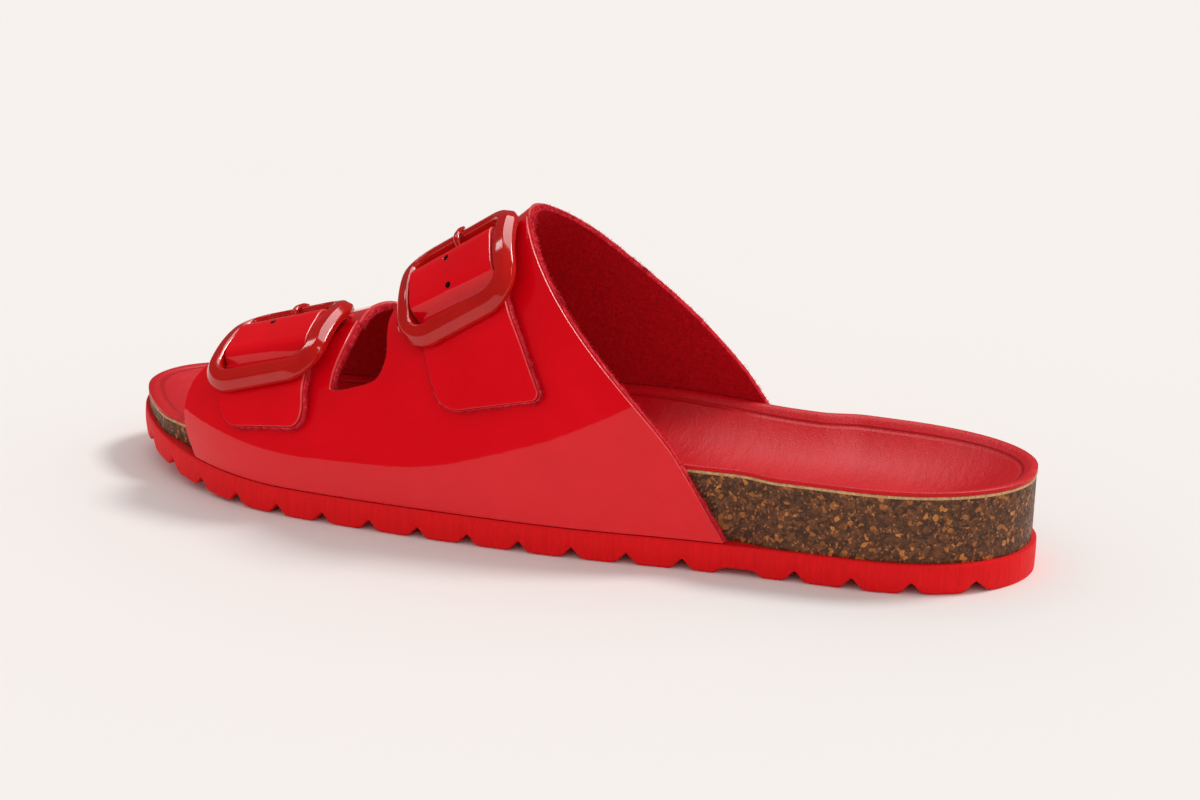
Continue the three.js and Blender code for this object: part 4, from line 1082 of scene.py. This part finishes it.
def bar_section():
    """Section of the frame's bar as shares across it (0 outer side, 1 inner side) and heights: each
    corner of the table is an arc of a few points between its two sides."""
    corners = FRAME_SECTION
    start, end = (
        corners + unit(np.roll(corners, way, axis=0) - corners) * FRAME_SOFT for way in (1, -1))
    s = np.linspace(0, 1, 5)[None, :, None]
    middle = 2 * s * (1 - s) * corners[:, None]
    points = ((1 - s) ** 2 * start[:, None] + middle + s * s * end[:, None]).reshape(-1, 2)
    return points[:, 0] / FRAME_BAR_SIDE, points[:, 1]


def make_buckle(name, b):
    """Frame: the bar's chamfered section is carried round matched outer and inner loops; the hinge
    bar is a rod between its sides."""
    outer = rounded_rectangle(FRAME_WIDTH, FRAME_LONG, FRAME_CORNER)
    inner = rounded_rectangle(
        FRAME_WIDTH - 2 * FRAME_BAR_SIDE, FRAME_LONG - 2 * FRAME_BAR_END, FRAME_INNER_CORNER)
    across, rise = bar_section()
    flat = outer[:, None] * (1 - across[None, :, None]) + inner[:, None] * across[None, :, None]
    v, u = flat[..., 0], flat[..., 1]
    floor_of_seat = SEAT_HEIGHT - np.sqrt(np.clip(SEAT_RADIUS**2 - v**2, 0, None))
    seat = np.where((u > 0) & (abs(v) < SEAT_RADIUS), floor_of_seat, np.inf)
    rings = frame_place(b, v, u, np.minimum(rise[None] + 0 * v, seat))
    body = sweep("buckle_frame_" + name, rings, ENAMEL, sharp=60, turn_rows=True)
    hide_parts("buckle_" + name)
    reach = FRAME_WIDTH / 2 - FRAME_BAR_SIDE / 2
    v = np.linspace(-reach, reach, 40)[:, None]
    a = full_turn(20)
    height = HINGE_HEIGHT + HINGE_CLIMB * (np.abs(v) / reach) ** 12 + HINGE_RADIUS * np.sin(a)
    rod = frame_place(b, v, HINGE_U + HINGE_RADIUS * np.cos(a), height)
    hinge = sweep("buckle_hinge_" + name, rod, ENAMEL)


def make_tongue(name, b):
    """Tongue: a round rod carried along its route, flattened and narrowed at its tip."""
    s = np.linspace(0, 1, 60)
    far = np.concatenate([[0], np.cumsum(np.hypot(*np.diff(PRONG_ROUTE, axis=0).T))])
    table = np.column_stack([far / far[-1], PRONG_ROUTE])
    u, h = smooth(table, 1, s), smooth(table, 2, s)
    heading = np.arctan2(np.gradient(h), np.gradient(u))[:, None]
    size = (PRONG_RADIUS * (1 - PRONG_TAPER * ease(s, 0.9, 1.0)))[:, None]
    a = full_turn(18)
    side = size * np.cos(a) * (1 + PRONG_SPREAD * ease(s, 0.55, 0.8))[:, None]
    lift = size * np.sin(a)
    u, h = u[:, None] - lift * np.sin(heading), h[:, None] + lift * np.cos(heading)
    rings = frame_place(b, side, u, h)
    piece = sweep("buckle_tongue_" + name, rings, ENAMEL)
    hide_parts("prong_" + name)


# Build
make_outsole()
make_footbed()
make_upper()
make_straps()
make_fibres("felt_fibres_upper", ["upper_felt"], 15000, 3)
make_fibres("felt_fibres_straps", ["strap_felt_front", "strap_felt_rear"], 5200, 4)
for label, buckle in BUCKLES.items():
    make_buckle(label, buckle)
    make_tongue(label, buckle)


# Floor, light and camera
def make_floor():
    """Pale floor under the shoe."""
    bpy.ops.mesh.primitive_plane_add(size=2 * FLOOR_HALF, location=(0, 0, 0))
    floor = bpy.context.object
    floor.name = "pale_floor"
    floor.data.materials.append(floor_finish())


def make_room():
    """World that lights from all round but shows only faintly in glossy surfaces."""
    world = bpy.data.worlds.new("soft_room")
    bpy.context.scene.world = world
    world.use_nodes = True
    tree = world.node_tree
    fill = tree.nodes["Background"]
    fill.inputs["Color"].default_value = ROOM_COLOUR
    fill.inputs["Strength"].default_value = ROOM_FILL
    dim = node(tree, "ShaderNodeBackground", Color=ROOM_MIRRORED_COLOUR, Strength=ROOM_MIRRORED)
    mirrored = node(tree, "ShaderNodeLightPath").outputs["Is Glossy Ray"]
    either = node(tree, "ShaderNodeMixShader", {0: mirrored, 1: fill.outputs[0], 2: dim.outputs[0]})
    tree.links.new(either.outputs[0], tree.nodes["World Output"].inputs["Surface"])


def stood(name, data, axes, place):
    """Object of some data at a place in metres, on its right, up and back axes."""
    made = bpy.data.objects.new(name, data)
    bpy.context.scene.collection.objects.link(made)
    rows = [[*row, p] for row, p in zip(np.stack(axes, 1), place)]
    made.matrix_world = Matrix(rows + [[0, 0, 0, 1]])
    return made


def facing(place, aim):
    """Right, up and back axes of what looks from a place to an aim."""
    back = unit(np.array(place) - np.array(aim))
    right = unit(np.cross([0.0, 0.0, 1.0], back))
    return right, np.cross(back, right), back


def soft_light(name, place, aim, size, size_y, power):
    """Soft panel at a place, turned towards an aim, that shows in glossy surfaces only."""
    data = bpy.data.lights.new(name, "AREA")
    data.shape = "RECTANGLE"
    data.size, data.size_y = size, size_y
    data.energy = power
    stood(name, data, facing(place, aim), place).visible_diffuse = False


def far_light(name, towards, strength, angle):
    """Even light from one direction, as wide as an angle in degrees."""
    data = bpy.data.lights.new(name, "SUN")
    data.energy = strength
    data.angle = np.radians(angle)
    data.color = KEY_COLOUR
    stood(name, data, facing(towards, (0, 0, 0)), towards)


def camera_axes(azimuth, elevation, roll=0.0):
    """Right, up and back of a camera."""
    sa, ca, se, ce = np.sin(azimuth), np.cos(azimuth), np.sin(elevation), np.cos(elevation)
    back = np.array([sa * ce, -ca * ce, se])
    right = np.array([ca, sa, 0.0])
    up = np.cross(back, right)
    sr, cr = np.sin(roll), np.cos(roll)
    return cr * right + sr * up, cr * up - sr * right, back


def make_camera():
    """Camera at the picture's own place, turned to take in the whole shoe."""
    right, up, back = camera_axes(CAMERA_AZIMUTH, CAMERA_ELEVATION)
    place = back * CAMERA_FROM + right * CAMERA_SIDE + up * CAMERA_UP + [0, SHIFT_Y, 0]
    back = unit(place - CAMERA_AIM)
    axes = camera_axes(np.arctan2(back[0], -back[1]), np.arcsin(back[2]), CAMERA_ROLL)
    data = bpy.data.cameras.new("camera")
    data.sensor_width = SENSOR
    data.lens = CAMERA_FOCAL * CAMERA_WIDEN
    data.clip_start, data.clip_end = 0.01, 200
    bpy.context.scene.camera = stood("camera", data, axes, place / 1000)


make_floor()
make_room()
far_light("key_light", KEY_TOWARDS, KEY_STRENGTH, KEY_ANGLE)
for number, (place, aim, wide, tall, power) in enumerate(PANELS):
    soft_light("panel_%d" % number, place, aim, wide, tall, power)
make_camera()
bpy.context.scene.view_settings.view_transform = "Standard"
